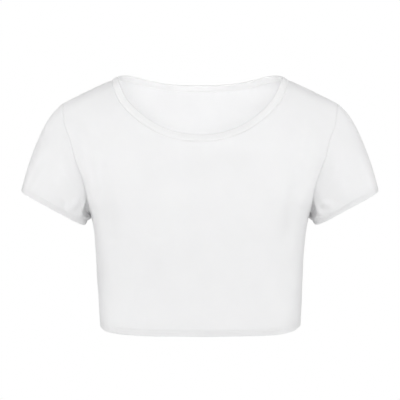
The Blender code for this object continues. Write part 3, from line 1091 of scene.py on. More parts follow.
    def relief(self) -> Array:
        """Height of the cloth with its folds, creases, hem and seams over the form, in metres.

        Folds and creases fade out towards the seams with a smooth step. A seam is a groove of
        one depth, with puckers beside it that vanish at the seam itself.

        Returns:
            The height at each point.
        """
        seams = [self.surface[0], self.surface[1:, -1], self.surface[-1, -2::-1]]
        distance, along = nearest(np.concatenate(seams), self.surface)
        free = soft_step(distance / self.fold_fade)
        halves = one_side(self.surface)
        rise = sum(fold.height(halves[..., [0, 2]]) for fold in self.folds)
        rise = rise + sum(crease.height(self.surface[..., [0, 2]]) for crease in self.creases)
        rise = (rise + slack(self.across, self.up)) * free
        rise = rise + self.hem.relief(self.up, self.across, free)
        edge = self.surface[-1, self.underarm_row :]
        rise = rise + DRAWN.height(edge, *nearest(edge, halves), DRAWN.body_width)
        return rise - seam_relief(self.cloth, distance, along) + self.cloth.lift

    def make(self) -> Object:
        """Builds the panel's cloth, its hem turned up.

        Returns:
            The object.
        """
        shared = self.shared
        middle = turned_up(self.outer, shared, self.heights, self.hem)
        own = self.side.way * grid_normals(middle, False)
        above = len(self.heights)
        turned = above - 1
        for column in (0, -1):
            seam = own[column, turned + above :]
            own[column, turned + above :] = mitred(shared[column, above:], seam, self.cloth)
        own[:, -1] = mitred(shared[:, -1], own[:, -1], self.cloth)
        flat = np.stack([self.across, self.up], axis=-1)
        uv = np.concatenate([flat[:, turned:0:-1] * UPSIDE_DOWN, flat], axis=1)
        if self.side is Side.BACK:
            middle, own, uv = middle[::-1], own[::-1], uv[::-1]
        return cloth_shell(f"{self.name}_cloth", middle, own, self.cloth.thickness, uv, False)


def seam_relief(cloth: Cloth, distance: Array, along: Array) -> Array:
    """Depth of a seam's groove less the puckers beside it.

    With d the distance from the seam, the groove is dip exp(-(d / width)^2) and the puckers are
    two sines along the seam times (d / reach) exp(1 - d / reach), which is 0 at the seam.

    Args:
        cloth: the cloth and its sewing.
        distance: distance from the seam.
        along: length along the seam.

    Returns:
        The depth at each point, in metres.
    """
    groove = cloth.seam_dip * bell(distance, cloth.seam_width)
    pitch = cloth.pucker_pitch
    second = np.sin(2 * pi * along / (cloth.second_pitch * pitch) + cloth.second_start)
    waves = np.sin(2 * pi * along / pitch) + cloth.second_share * second
    beside = distance / cloth.pucker_reach * np.exp(1 - distance / cloth.pucker_reach)
    return groove - cloth.pucker * waves * beside / 2


def mitred(shared: Array, own: Array, cloth: Cloth) -> Array:
    """The shared way out at a seam, lengthened by 1 / cos of its angle to the piece's own."""
    lean = (shared * own).sum(axis=-1, keepdims=True)
    return shared / np.maximum(lean, 1 / cloth.largest_mitre)


# ==== Sleeves ====


@dataclass(frozen=True)
class Run:
    """How a sleeve's cloth leaves the armhole and reaches the hem at one turn.

    Args:
        turn: 0 at the shoulder to 1 under the arm.
        out, forward, down: its way at the armhole.
        lean: the lean of its way down at the hem, in degrees.
        pull, end_pull: its pull at both ends, in shares of its length.
    """

    turn: float
    out: float
    forward: float
    down: float
    lean: float
    pull: float
    end_pull: float


SLEEVE_RUNS = (
    Run(0.00, 1.00, 0.00, 0.66, 76.0, 0.77, 0.96),  # top
    Run(0.25, 0.95, 0.10, 0.66, 70.0, 0.80, 0.90),  # fore
    Run(0.50, 0.80, 0.30, 0.70, 63.0, 0.80, 0.80),  # middle
    Run(0.75, 0.90, 0.20, 0.75, 61.0, 0.80, 0.75),  # low
    Run(1.00, 1.00, 0.00, 0.35, 61.0, 0.80, 0.75),  # underarm
)


@dataclass(kw_only=True)
class Sleeve(Piece):
    """A short sleeve set into the armhole, a tube of cloth with its hem turned up.

    Args:
        hand: which arm it is for.
        front, back: the panels whose armhole it is sewn to.
        creases: its main creases.
        tucks: its tucks beside the armpit, front and back, as seen from the front.
        sag, sag_depth, sag_ease: the cloth's sag under the arm, its place from front to back,
            and the width over which the tucks take its place.
        hem_centre, axis: middle of the hem's ring and the way the arm points.
        half_width, half_depth: half sizes of the hem's ring.
        ring_square: squareness of the hem's ring, 0 for an ellipse.
        bow: how far the ring's front and back bow out of its plane.
        largest_hem: the most that the hem takes of the short underarm length.
        fold_ease: share of the length over which large folds rise and fall.
        half_girth, length: the sizes that turn places on the sleeve into metres for creases.
        crease_fade, tuck_fade: length over which creases, and tucks, fade out at a seam.
        slack_share: share of the panels' slack that the sleeve has.
    """

    hand: Hand
    front: Panel
    back: Panel
    creases: tuple[Crease, ...]
    tucks: tuple[Crease, ...]
    sag: Crease = SAG
    sag_depth: float = 0.010
    sag_ease: float = 0.030
    hem_centre: Place = (0.2188, 0.0, -0.1983)
    axis: Place = (0.48, 0.0, -0.877)
    half_width: float = 0.0535
    half_depth: float = 0.0535
    ring_square: float = 0.07
    bow: float = -0.0020
    largest_hem: float = 0.30
    fold_ease: float = 0.18
    half_girth: float = 0.170
    length: float = 0.100
    crease_fade: float = 0.012
    tuck_fade: float = 0.003
    slack_share: float = 0.8
    hem: Hem = Hem(depth=0.0095, needles=(0.0045, 0.0080), wave=0.0004, wave_reach=0.03)
    turn: Array = field(init=False)
    shares: Array = field(init=False)
    heights: Array = field(init=False)

    def __post_init__(self) -> None:
        """Lays the sleeve's rings between the armhole and the hem."""
        self.heights = self.hem.heights()
        self.surface = self.rings(self.armhole())
        self.normals = grid_normals(self.surface, True)

    @property
    def name(self) -> str:
        """The sleeve's node."""
        return f"sleeve_{self.hand.name.lower()}"

    def armhole(self) -> Array:
        """The armhole's loop, from the shoulder down the front and up the back, on the left."""
        row = self.front.underarm_row
        return np.concatenate([self.front.surface[-1, : row - 1 : -1], self.back.surface[-1, row + 1 : -1]])

    def hem_ring(self) -> Array:
        """The hem's ring: a squared ellipse across the arm, bowed along it by a squared sine."""
        angle = self.turn * pi
        deep, wide = squared_round(angle, self.ring_square)
        axis = unit(np.array(self.axis))
        outwards = np.array([-axis[2], 0.0, axis[0]])
        return (
            np.array(self.hem_centre)
            + self.half_width * wide[:, None] * outwards
            + self.half_depth * deep[:, None] * np.array([0.0, -1.0, 0.0])
            + self.bow * np.sin(angle)[:, None] ** 2 * axis
        )

    def rings(self, loop: Array) -> Array:
        """Grid of the sleeve: each column a cubic Hermite from the armhole to the hem.

        Args:
            loop: the armhole's loop.

        Returns:
            Columns round the sleeve from its underarm seam by rows from the armhole to the
            hem's fold, mirrored and run the other way round for the right arm.
        """
        steps = self.pattern.rows()
        half = len(steps) - int(np.searchsorted(steps, self.pattern.side)) - 1
        fore = lengths_along(loop[: half + 1])
        rear = lengths_along(ringed(loop)[half:])
        self.turn = np.concatenate([fore / fore[-1], 1 + rear[1:-1] / rear[-1]])
        hem = self.hem_ring()
        place = 1 - np.abs(1 - self.turn)
        turns = listed(SLEEVE_RUNS, "turn")
        out, forward, down, lean, pull, end_pull = (
            smooth_curve(turns, listed(SLEEVE_RUNS, name), place)
            for name in ("out", "forward", "down", "lean", "pull", "end_pull")
        )
        side = np.where(self.turn < 1, -1.0, 1.0)
        length = np.linalg.norm(hem - loop, axis=1, keepdims=True)
        leave = unit(np.stack([out, side * forward, -down], axis=-1)) * pull[:, None] * length
        lean = np.radians(lean)
        arrive = np.stack([np.cos(lean), 0 * lean, -np.sin(lean)], axis=-1)
        arrive = arrive * end_pull[:, None] * length
        hem_share = (self.hem.depth / length).clip(max=self.largest_hem)
        step_share = hem_share * (1 + self.hem.step / self.hem.depth)
        in_hem = 1 - hem_share * self.heights[::-1] / self.hem.depth
        self.shares = np.concatenate([self.pattern.shares() * (1 - step_share), in_hem], axis=1)
        ends = (loop[:, None], leave[:, None], hem[:, None], arrive[:, None])
        points = hermite(self.shares[..., None], *ends)
        points = points + self.fold_rise()[..., None] * grid_normals(points, True)
        if self.hand is Hand.RIGHT:
            points = points[::-1] * MIRROR
            self.turn = self.turn[::-1]
            self.shares = self.shares[::-1]
        first = -int(np.argmin(np.abs(self.turn - 1)))
        self.turn = np.roll(self.turn, first)
        self.shares = np.roll(self.shares, first, axis=0)
        return np.roll(points, first, axis=0)

    def fold_rise(self) -> Array:
        """Height of the large folds, which end before the armhole and before the hem."""
        rise = sum(fold.height(self.turn, self.shares, self.fold_ease) for fold in SLEEVE_FOLDS)
        from_armhole = np.clip(self.shares / self.fold_ease, 0, 1)
        return rise * from_armhole * np.clip((1 - self.shares) / self.fold_ease, 0, 1)

    def flat_places(self) -> tuple[Array, Array]:
        """Length of cloth round the sleeve, with a column more to close it, and up from the fold."""
        ring = ringed(self.surface)
        around = lengths_along(ring)
        up = lengths_along(ring[:, ::-1].transpose(1, 0, 2)).transpose(1, 0)[:, ::-1]
        return around, up

    def relief(self) -> Array:
        """Height of the cloth with its creases, hem and armhole seam over the form, in metres.

        Returns:
            The height at each point: creases, tucks, sag and slack faded out at the armhole,
            the hem's relief, and the grooves of the armhole seam and the underarm seam.
        """
        around, up = (lengths[:-1] for lengths in self.flat_places())
        free = soft_step((up[:, :1] - up) / self.crease_fade)
        edge = ringed(self.surface[:, 0])
        distance, along = nearest(edge, self.surface)
        beside = np.linalg.norm(self.surface - self.surface[:1], axis=-1)
        turn = np.broadcast_to(self.turn[:, None], self.shares.shape)
        places = np.stack([turn, self.shares], axis=-1)
        scale = np.array([self.half_girth, self.length])
        rise = sum(crease.height(places, scale) for crease in self.creases)
        seen = one_side(self.surface)[..., [0, 2]]
        aside = soft_step(np.abs(self.surface[..., 1] - self.sag_depth) / self.sag_ease)
        tucked = sum(tuck.height(seen) for tuck in self.tucks)
        close = soft_step((up[:, :1] - up) / self.tuck_fade)
        sagged = self.sag.height(seen)
        tucked = (aside * tucked + (1 - aside) * sagged) * close * soft_step(up / self.tuck_fade)
        wrapped = 0.5 - 0.5 * np.cos(pi * turn)
        loose = self.slack_share * slack(wrapped * self.half_girth * self.hand.value, up)
        rise = (rise + loose) * free + tucked
        rise = rise + self.hem.relief(up, around, soft_step(beside / self.crease_fade))
        rise = rise + DRAWN.height(edge, distance, along, DRAWN.sleeve_width)
        underarm = self.cloth.seam_dip * bell(beside, self.cloth.seam_width)
        seam = np.maximum(seam_relief(self.cloth, distance, along), underarm)
        return rise - seam + self.cloth.lift

    def make(self) -> Object:
        """Builds the sleeve's cloth, its hem turned up.

        Returns:
            The object.
        """
        around, up = self.flat_places()
        shared = self.shared
        middle = turned_up(self.outer[:, ::-1], shared[:, ::-1], self.heights, self.hem)[:, ::-1]
        own = grid_normals(middle, True)
        own[:, 0] = mitred(shared[:, 0], own[:, 0], self.cloth)
        turned = len(self.heights) - 1
        flat = np.stack([around, up], axis=-1)
        uv = np.concatenate([flat, flat[:, -2 : -turned - 2 : -1] * UPSIDE_DOWN], axis=1)
        return cloth_shell(f"{self.name}_cloth", middle, own, self.cloth.thickness, uv, True)


# ==== Neck binding ====


@dataclass(frozen=True)
class Lean:
    """Share taken off the binding's rise at one place from front to back."""

    y: float
    share: float


BAND_LEANS = (
    Lean(-0.086, 0.24),  # front
    Lean(-0.045, 0.34),  # collarbone
    Lean(0.000, 0.33),  # shoulder
    Lean(0.040, 0.10),  # trapezius
    Lean(0.073, 0.00),  # back
)


@dataclass(kw_only=True)
class Neckband(Piece):
    """The binding round the neck: one strip of jersey folded double, sewn on at both edges.

    Args:
        front, back: the panels that it is sewn to.
        width: from the seam to the fold.
        thickness: of the folded strip.
        smoothings: rounds of smoothing of its direction, in steps of the pattern.
        leaf_rows, fold_rows: rows of each layer and of the fold between them.
        seam_ease: width over which the layers part from the seam.
        seam_room: how far apart the layers lie at the seam, in thicknesses of cloth.
    """

    front: Panel
    back: Panel
    name: str = "neckband"
    width: float = 0.0104
    thickness: float = 0.0024
    smoothings: int = 2
    leaf_rows: int = 16
    fold_rows: int = 9
    seam_ease: float = 0.0030
    seam_room: float = 1.08
    cloth: Cloth = Cloth(seam_dip=0.00074, pucker=0.00026, pucker_pitch=0.0093)
    widths: Array = field(init=False)

    def __post_init__(self) -> None:
        """Lays the strip's middle surface inwards from the neckline."""
        step = self.front.pattern.finer
        neck = self.front.neck_columns
        ring = self.around(self.front.surface[neck, -1], self.back.surface[neck, -1])
        facing = self.around(self.front.neck_facing(), self.back.neck_facing())
        along = unit(np.roll(ring, -step, axis=0) - np.roll(ring, step, axis=0))
        into = unit(np.cross(facing, along))
        for _ in range(self.smoothings * step**2):
            into = unit(np.roll(into, 1, axis=0) + 2 * into + np.roll(into, -1, axis=0))
        places, shares = listed(BAND_LEANS, "y"), listed(BAND_LEANS, "share")
        into[:, 2] *= 1 - smooth_curve(places, shares, ring[:, 1].clip(places[0], places[-1]))
        into = unit(into)
        reach = self.width - self.fold_radius
        self.widths = reach * (1 - np.cos(np.linspace(0, pi / 2, self.leaf_rows)))
        self.surface = ring[:, None] + self.widths[None, :, None] * into[:, None]
        self.normals = grid_normals(self.surface, True)

    @property
    def fold_radius(self) -> float:
        """Radius of the fold, from the middle of the cloth."""
        return (self.thickness - self.cloth.thickness) / 2

    @staticmethod
    def around(front: Array, back: Array) -> Array:
        """Values along the neckline: the front's, then the back's the other way."""
        return np.concatenate([front, back[-2:0:-1]])

    def relief(self) -> Array:
        """Height of the middle of the strip over the form: less the seam's groove, in metres."""
        around = lengths_along(ringed(self.surface))[:-1]
        return -seam_relief(self.cloth, np.broadcast_to(self.widths, around.shape), around)

    def make(self) -> Object:
        """Builds the binding's cloth as a folded strip.

        Both layers lie c(w) from the middle surface, with c growing from a little over half a
        layer at the seam to the fold's radius r. The fold adds points at w + r sin(a) and
        r cos(a). Both edges end along the normals that the binding shares with the panels.

        Returns:
            The object.
        """
        shared, base = self.shared, self.outer
        closest = self.cloth.thickness / 2 * self.seam_room
        apart = closest + (self.fold_radius - closest) * soft_step(self.widths / self.seam_ease)
        out = unit(self.surface[:, -1] - self.surface[:, -2])
        edge, edge_normal = base[:, -1], shared[:, -1]
        angles = np.linspace(0, pi, self.fold_rows + 2)[1:-1]
        fold = (
            edge[:, None]
            + self.fold_radius * np.sin(angles)[None, :, None] * out[:, None]
            + self.fold_radius * np.cos(angles)[None, :, None] * edge_normal[:, None]
        )
        outer = base + shared * apart[None, :, None]
        inner = base - shared * apart[None, :, None]
        middle = np.concatenate([outer, fold, inner[:, ::-1]], axis=1)
        own = grid_normals(middle, True)
        own[:, 0] = mitred(shared[:, 0], own[:, 0], self.cloth)
        own[:, -1] = mitred(-shared[:, 0], own[:, -1], self.cloth)
        flat_up = lengths_along(middle[0])
        loop = lengths_along(ringed(self.surface[:, -1]))
        uv = np.stack(np.broadcast_arrays(loop[:, None], flat_up[None, :]), axis=-1)
        return cloth_shell(f"{self.name}_cloth", middle, own, self.cloth.thickness, uv, True)


# ==== Stitches ====


@dataclass
class StitchRows:
    """The twin-needle stitching of a hem: two rows outside, a looped thread across inside.

    Args:
        name: the object's name.
        pitch, length: from one stitch to the next, and the length of thread that shows.
        radius: of the thread.
        lift: how far a stitch's middle stands off the cloth.
        taper, sink: how much thinner and how much lower a stitch is at its ends.
        fewest: the fewest stitches in a row.
        rings, sides: of each stitch's mesh, whose two end faces close six sides.
    """

    name: str
    pitch: float = 0.0032
    length: float = 0.0027
    radius: float = 0.00017
    lift: float = 0.00005
    taper: float = 0.85
    sink: float = 1.6
    fewest: int = 2
    rings: tuple[float, ...] = (-1.0, -0.7, 0.0, 0.7, 1.0)
    sides: int = 6
    parts: list[Array] = field(default_factory=list)

    def count(self, length: Array) -> int:
        """How many stitches fit on a line with these lengths along it."""
        return max(int(round(length[-1] / self.pitch)), self.fewest)

    def sew(self, line: Array, normals: Array, depth: float, closed: bool) -> None:
        """Adds a row of stitches along a line on the cloth.

        Args:
            line: points of the line.
            normals: the way out of the cloth at each.
            depth: how far in from the line the thread lies, negative outside it.
            closed: whether the line closes into a ring.
        """
        if closed:
            line, normals = ringed(line), ringed(normals)
        length = lengths_along(line)
        count = self.count(length)
        ends = (np.arange(count)[:, None] + 0.5) * length[-1] / count
        ends = ends + np.array([-0.5, 0.5]) * self.length
        first, last = (spread(length, line, ends[:, k]) for k in (0, 1))
        out = unit(spread(length, normals, ends.mean(axis=1)))
        self.parts.append(self.threads(first - out * depth, last - out * depth, out))

    def loop(self, low: Array, high: Array, normals: Array, depth: float, closed: bool) -> None:
        """Adds the thread that runs to and fro between two lines.

        Args:
            low, high: the two lines.
            normals: the way out of the cloth at each point.
            depth: how far in from the lines the thread lies.
            closed: whether the lines close into rings.
        """
        if closed:
            low, high, normals = (ringed(values) for values in (low, high, normals))
        length = lengths_along(low)
        count = self.count(length)
        places = np.arange(count + 0.5, step=0.5) * length[-1] / count
        out = unit(spread(length, normals, places))
        zig = np.where(
            (np.arange(len(places)) % 2 == 0)[:, None],
            spread(length, low, places),
            spread(length, high, places),
        )
        zig = zig - out * depth
        self.parts.append(self.threads(zig[:-1], zig[1:], -out[:-1]))

    def threads(self, first: Array, last: Array, out: Array) -> Array:
        """Points of short threads between pairs of points.

        At s from -1 to 1 along a thread its radius is r sqrt(1 - taper s^2) and its middle
        stands lift (1 - sink s^2) off the cloth.

        Args:
            first, last: ends of each thread.
            out: the way out at each.

        Returns:
            Threads by rings by sides by 3 array of points.
        """
        along = unit(last - first)
        aside = unit(np.cross(along, out))
        up = np.cross(aside, along)
        s = np.array(self.rings)[None, :, None, None]
        angle = (np.arange(self.sides) * 2 * pi / self.sides)[None, None, :, None]
        radius = self.radius * np.sqrt(1 - self.taper * s**2)
        middle = (first + last)[:, None, None] / 2 + (last - first)[:, None, None] * s / 2
        middle = middle + up[:, None, None] * self.lift * (1 - self.sink * s**2)
        around = aside[:, None, None] * np.cos(angle) + up[:, None, None] * np.sin(angle)
        return middle + radius * around

    def make(self) -> Object:
        """Joins all threads into one object.

        Returns:
            The object.
        """
        points = np.concatenate(self.parts)
        count, rings, sides = points.shape[:3]
        index = np.arange(rings * sides).reshape(rings, sides)
        tube = corners(np.concatenate([index, index[:, :1]], axis=1))
        ends = np.array([[0, 1, 2, 3], [0, 3, 4, 5]])
        last = (rings - 1) * sides
        one = np.concatenate([tube[:, ::-1], ends[:, ::-1], ends + last])[:, ::-1]
        quads = one[None] + (np.arange(count) * rings * sides)[:, None, None]
        turn = (np.arange(rings * sides) % sides) / sides
        way = (np.arange(rings * sides) // sides) / (rings - 1) * self.length
        flat = np.stack([turn, way], axis=-1)[one]
        uv = np.broadcast_to(flat, (count, *flat.shape))
        return quad_mesh(self.name, points.reshape(-1, 3), quads.reshape(-1, 4), uv.reshape(-1, 4, 2))


def spread(length: Array, values: Array, places: Array) -> Array:
    """Vectors given along a line, read at other lengths along it."""
    return np.stack([np.interp(places, length, values[:, k]) for k in range(3)], axis=-1)


# ==== Finishes ====


class Nodes:
    """A node tree that is wired up by name."""

    def __init__(self, tree: bpy.types.NodeTree) -> None:
        """Keeps the tree."""
        self.tree = tree

    def add(self, kind: str, **settings: object) -> bpy.types.Node:
        """Adds a node of this kind with these settings."""
        node = self.tree.nodes.new(kind)
        for name, value in settings.items():
            setattr(node, name, value)
        return node

    def feed(self, socket: Socket, value: object) -> None:
        """Links a socket to the value, or sets the socket to it."""
        if isinstance(value, Socket):
            self.tree.links.new(value, socket)
        else:
            socket.default_value = value

    def math(self, operation: str, *values: object) -> Socket:
        """The result of a Math node on up to three values."""
        node = self.add("ShaderNodeMath", operation=operation)
        for socket, value in zip(node.inputs, values):
            self.feed(socket, value)
        return node.outputs[0]

    def noise(self, place: object, scale: float, detail: float) -> Socket:
        """Noise at this many spots to the metre."""
        node = self.add("ShaderNodeTexNoise")
        self.feed(node.inputs["Vector"], place)
        node.inputs["Scale"].default_value = scale
        node.inputs["Detail"].default_value = detail
        return node.outputs["Fac"]


def new_group(name: str, inputs: dict[str, str], outputs: dict[str, str]) -> tuple[Nodes, dict, dict]:
    """A shader node group with these sockets.

    Args:
        name: the group's name.
        inputs, outputs: socket type for each socket name.

    Returns:
        Its nodes, its inputs' sockets by name and its outputs' sockets by name.
    """
    tree = bpy.data.node_groups.new(name, "ShaderNodeTree")
    for way, sockets in (("INPUT", inputs), ("OUTPUT", outputs)):
        for socket, kind in sockets.items():
            tree.interface.new_socket(name=socket, in_out=way, socket_type=kind)
    nodes = Nodes(tree)
    given = nodes.add("NodeGroupInput")
    put = nodes.add("NodeGroupOutput")
    return (
        nodes,
        {name: given.outputs[name] for name in inputs},
        {name: put.inputs[name] for name in outputs},
    )


class KnitGroup:
    """Plain jersey: columns of small V stitches.

    With a the share across a column and d = |2a - 1|, the height is (1 - d^edge_power) times
    the loops' 1 - loop_swing + loop_swing cos(2 pi (v / course + slant d)). The gap, 1 less the
    height, is painted shade between the loops.
    """

    name = "plain_knit"
    edge_power = 3.0
    loop_swing = 0.2

    @classmethod
    def tree(cls) -> bpy.types.NodeTree:
        """The group, built once.

        Returns:
            The node group: Height, and the gaps' painted shade, from Flat, Wale, Course and Slant.
        """
        if cls.name in bpy.data.node_groups:
            return bpy.data.node_groups[cls.name]
        number = "NodeSocketFloat"
        nodes, given, put = new_group(
            cls.name,
            {"Flat": "NodeSocketVector", "Wale": number, "Course": number, "Slant": number},
            {"Height": number, "Gap": number},
        )
        apart = nodes.add("ShaderNodeSeparateXYZ")
        nodes.feed(apart.inputs[0], given["Flat"])
        across = nodes.math("FRACT", nodes.math("DIVIDE", apart.outputs["X"], given["Wale"]))
        away = nodes.math("ABSOLUTE", nodes.math("MULTIPLY_ADD", across, 2.0, -1.0))
        rows = nodes.math("DIVIDE", apart.outputs["Y"], given["Course"])
        slanted = nodes.math("MULTIPLY_ADD", away, given["Slant"], rows)
        loops = nodes.math("COSINE", nodes.math("MULTIPLY", slanted, 2 * pi))
        rib = nodes.math("SUBTRACT", 1.0, nodes.math("POWER", away, cls.edge_power))
        loops = nodes.math("MULTIPLY_ADD", loops, cls.loop_swing, 1 - cls.loop_swing)
        height = nodes.math("MULTIPLY", rib, loops)
        nodes.feed(put["Height"], height)
        nodes.feed(put["Gap"], nodes.math("SUBTRACT", 1.0, height))
        return nodes.tree


class ToneGroup:
    """The uneven tone of cotton: slow patches and fine specks of fibre.

    Patches and specks have a number of spots to the metre and a detail each. The tone moves
    from light to dark by a share of the patches, of the specks and of the gaps between loops
    or strands; the gaps' share is painted shade.
    """

    name = "cotton_tone"
    patches = (26.0, 3.0)
    specks = (900.0, 2.0)
    patch_share = 0.5
    speck_share = 0.2
    # Share of painted shade in the gaps between loops or strands
    gap_shade_share = 0.45
    speck_rough = 0.06

    @classmethod
    def tree(cls) -> bpy.types.NodeTree:
        """The group, built once.

        Returns:
            The node group: Color, with the gaps' painted shade, and Rough from Place, Light, Dark, the gap
                shade and Matt.
        """
        if cls.name in bpy.data.node_groups:
            return bpy.data.node_groups[cls.name]
        number, colour = "NodeSocketFloat", "NodeSocketColor"
        nodes, given, put = new_group(
            cls.name,
            {"Place": "NodeSocketVector", "Light": colour, "Dark": colour, "Gap": number, "Matt": number},
            {"Color": colour, "Rough": number},
        )
        patches = nodes.noise(given["Place"], *cls.patches)
        specks = nodes.noise(given["Place"], *cls.specks)
        tone = nodes.math("MULTIPLY", specks, cls.speck_share)
        tone = nodes.math("MULTIPLY_ADD", patches, cls.patch_share, tone)
        tone = nodes.math("MULTIPLY_ADD", given["Gap"], cls.gap_shade_share, tone)
        mix = nodes.add("ShaderNodeMix", data_type="RGBA")
        nodes.feed(mix.inputs["Factor"], tone)
        nodes.feed(mix.inputs[6], given["Light"])
        nodes.feed(mix.inputs[7], given["Dark"])
        nodes.feed(put["Color"], mix.outputs[2])
        nodes.feed(put["Rough"], nodes.math("MULTIPLY_ADD", specks, cls.speck_rough, given["Matt"]))
        return nodes.tree


@dataclass(frozen=True)
class Finish:
    """What jersey and thread share: a tone between two colours and a raised surface.

    Args:
        name: the material's name.
        light, dark: the tones that it moves between.
        matt: roughness.
        relief: height of its loops or strands.
    """

    name: str
    light: Colour
    dark: Colour
    matt: float
    relief: float

    def surface(self, nodes: Nodes, flat: Socket) -> tuple[Socket, Socket]:
        """Height of the surface, and the gap between what stands up as painted shade, from its flat places.
        """
        raise NotImplementedError

    def body(self) -> dict[str, object]:
        """Values of the shader's other sockets by name."""
        return {}

    def material(self) -> bpy.types.Material:
        """Builds the material.

        Returns:
            A Principled BSDF whose colour and roughness come from the tone group and whose
            normal comes from the surface's height through a Bump node.
        """
        material = bpy.data.materials.new(self.name)
        material.use_nodes = True
        nodes = Nodes(material.node_tree)
        shader = material.node_tree.nodes["Principled BSDF"]
        flat = nodes.add("ShaderNodeUVMap", uv_map=UV_NAME)
        height, gap_shade = self.surface(nodes, flat.outputs["UV"])
        tone = nodes.add("ShaderNodeGroup", node_tree=ToneGroup.tree())
        nodes.feed(tone.inputs["Place"], nodes.add("ShaderNodeTexCoord").outputs["Object"])
        # Painted shade: the gaps between loops or strands darken the colour
        nodes.feed(tone.inputs["Gap"], gap_shade)
        bump = nodes.add("ShaderNodeBump")
        nodes.feed(bump.inputs["Height"], height)
        bump.inputs["Distance"].default_value = self.relief
        for socket, value in (("Light", self.light), ("Dark", self.dark), ("Matt", self.matt)):
            tone.inputs[socket].default_value = value
        for socket, value in self.body().items():
            shader.inputs[socket].default_value = value
        nodes.feed(shader.inputs["Base Color"], tone.outputs["Color"])
        nodes.feed(shader.inputs["Roughness"], tone.outputs["Rough"])
        nodes.feed(shader.inputs["Normal"], bump.outputs["Normal"])
        return material


@dataclass(frozen=True)
class JerseyFinish(Finish):
    """Matt cotton jersey.

    Args:
        wale, course: width of a column of stitches and height of a row.
        slant: lean of the stitches, in rows.
        shine: strength of its reflections.
        sheen, sheen_roughness: the soft glow of its fibres at a glance.
        soaked, soak_depth: share of the light that goes into the cloth, and how far it goes.
    """

    name: str = "white_jersey"
    light: Colour = (0.905, 0.905, 0.908, 1.0)
    dark: Colour = (0.850, 0.850, 0.856, 1.0)
    matt: float = 0.88
    relief: float = 0.00009
    wale: float = 0.00085
    course: float = 0.00062
    slant: float = 0.42
    shine: float = 0.15
    sheen: float = 0.08
    sheen_roughness: float = 0.5
    soaked: float = 0.7
    soak_depth: float = 0.0012

    def surface(self, nodes: Nodes, flat: Socket) -> tuple[Socket, Socket]:
        """Height of the knit group, and its gaps as painted shade."""
        knit = nodes.add("ShaderNodeGroup", node_tree=KnitGroup.tree())
        nodes.feed(knit.inputs["Flat"], flat)
        for socket, value in (("Wale", self.wale), ("Course", self.course), ("Slant", self.slant)):
            knit.inputs[socket].default_value = value
        return knit.outputs["Height"], knit.outputs["Gap"]

    def body(self) -> dict[str, object]:
        """The weak shine, the sheen of the fibres and the light that goes into the cloth."""
        return {
            "Specular IOR Level": self.shine,
            "Sheen Weight": self.sheen,
            "Sheen Roughness": self.sheen_roughness,
            "Subsurface Weight": self.soaked,
            "Subsurface Radius": (1.0, 1.0, 1.0),
            "Subsurface Scale": self.soak_depth,
        }


@dataclass(frozen=True)
class ThreadFinish(Finish):
    """White sewing thread, twisted: painted shade darkens it between the strands.

    Args:
        twists: turns of the strands to the metre.
    """

    name: str = "white_thread"
    light: Colour = (0.93, 0.93, 0.935, 1.0)
    dark: Colour = (0.85, 0.85, 0.86, 1.0)
    matt: float = 0.55
    relief: float = 0.00005
    twists: float = 1400.0

    def surface(self, nodes: Nodes, flat: Socket) -> tuple[Socket, Socket]:
        """Strands cos(2 pi (v twists + u)) that wind round the thread, and (1 - strands) / 2 as painted
        shade between them.
        """
        apart = nodes.add("ShaderNodeSeparateXYZ")
        nodes.feed(apart.inputs[0], flat)
        wound = nodes.math("MULTIPLY_ADD", apart.outputs["Y"], self.twists, apart.outputs["X"])
        strands = nodes.math("COSINE", nodes.math("MULTIPLY", wound, 2 * pi))
        return strands, nodes.math("MULTIPLY_ADD", strands, -0.5, 0.5)


# ==== The garment ====


FRONT_CUT = Cut(0.460, 0.401, 0.154)
BACK_CUT = Cut(0.436, 0.402, 0.164)
SLEEVE_CUT = Cut(0.365, 0.163, 0.0355)
BAND_CUT = Cut(0.033, 0.680, 0.0224, "folded")


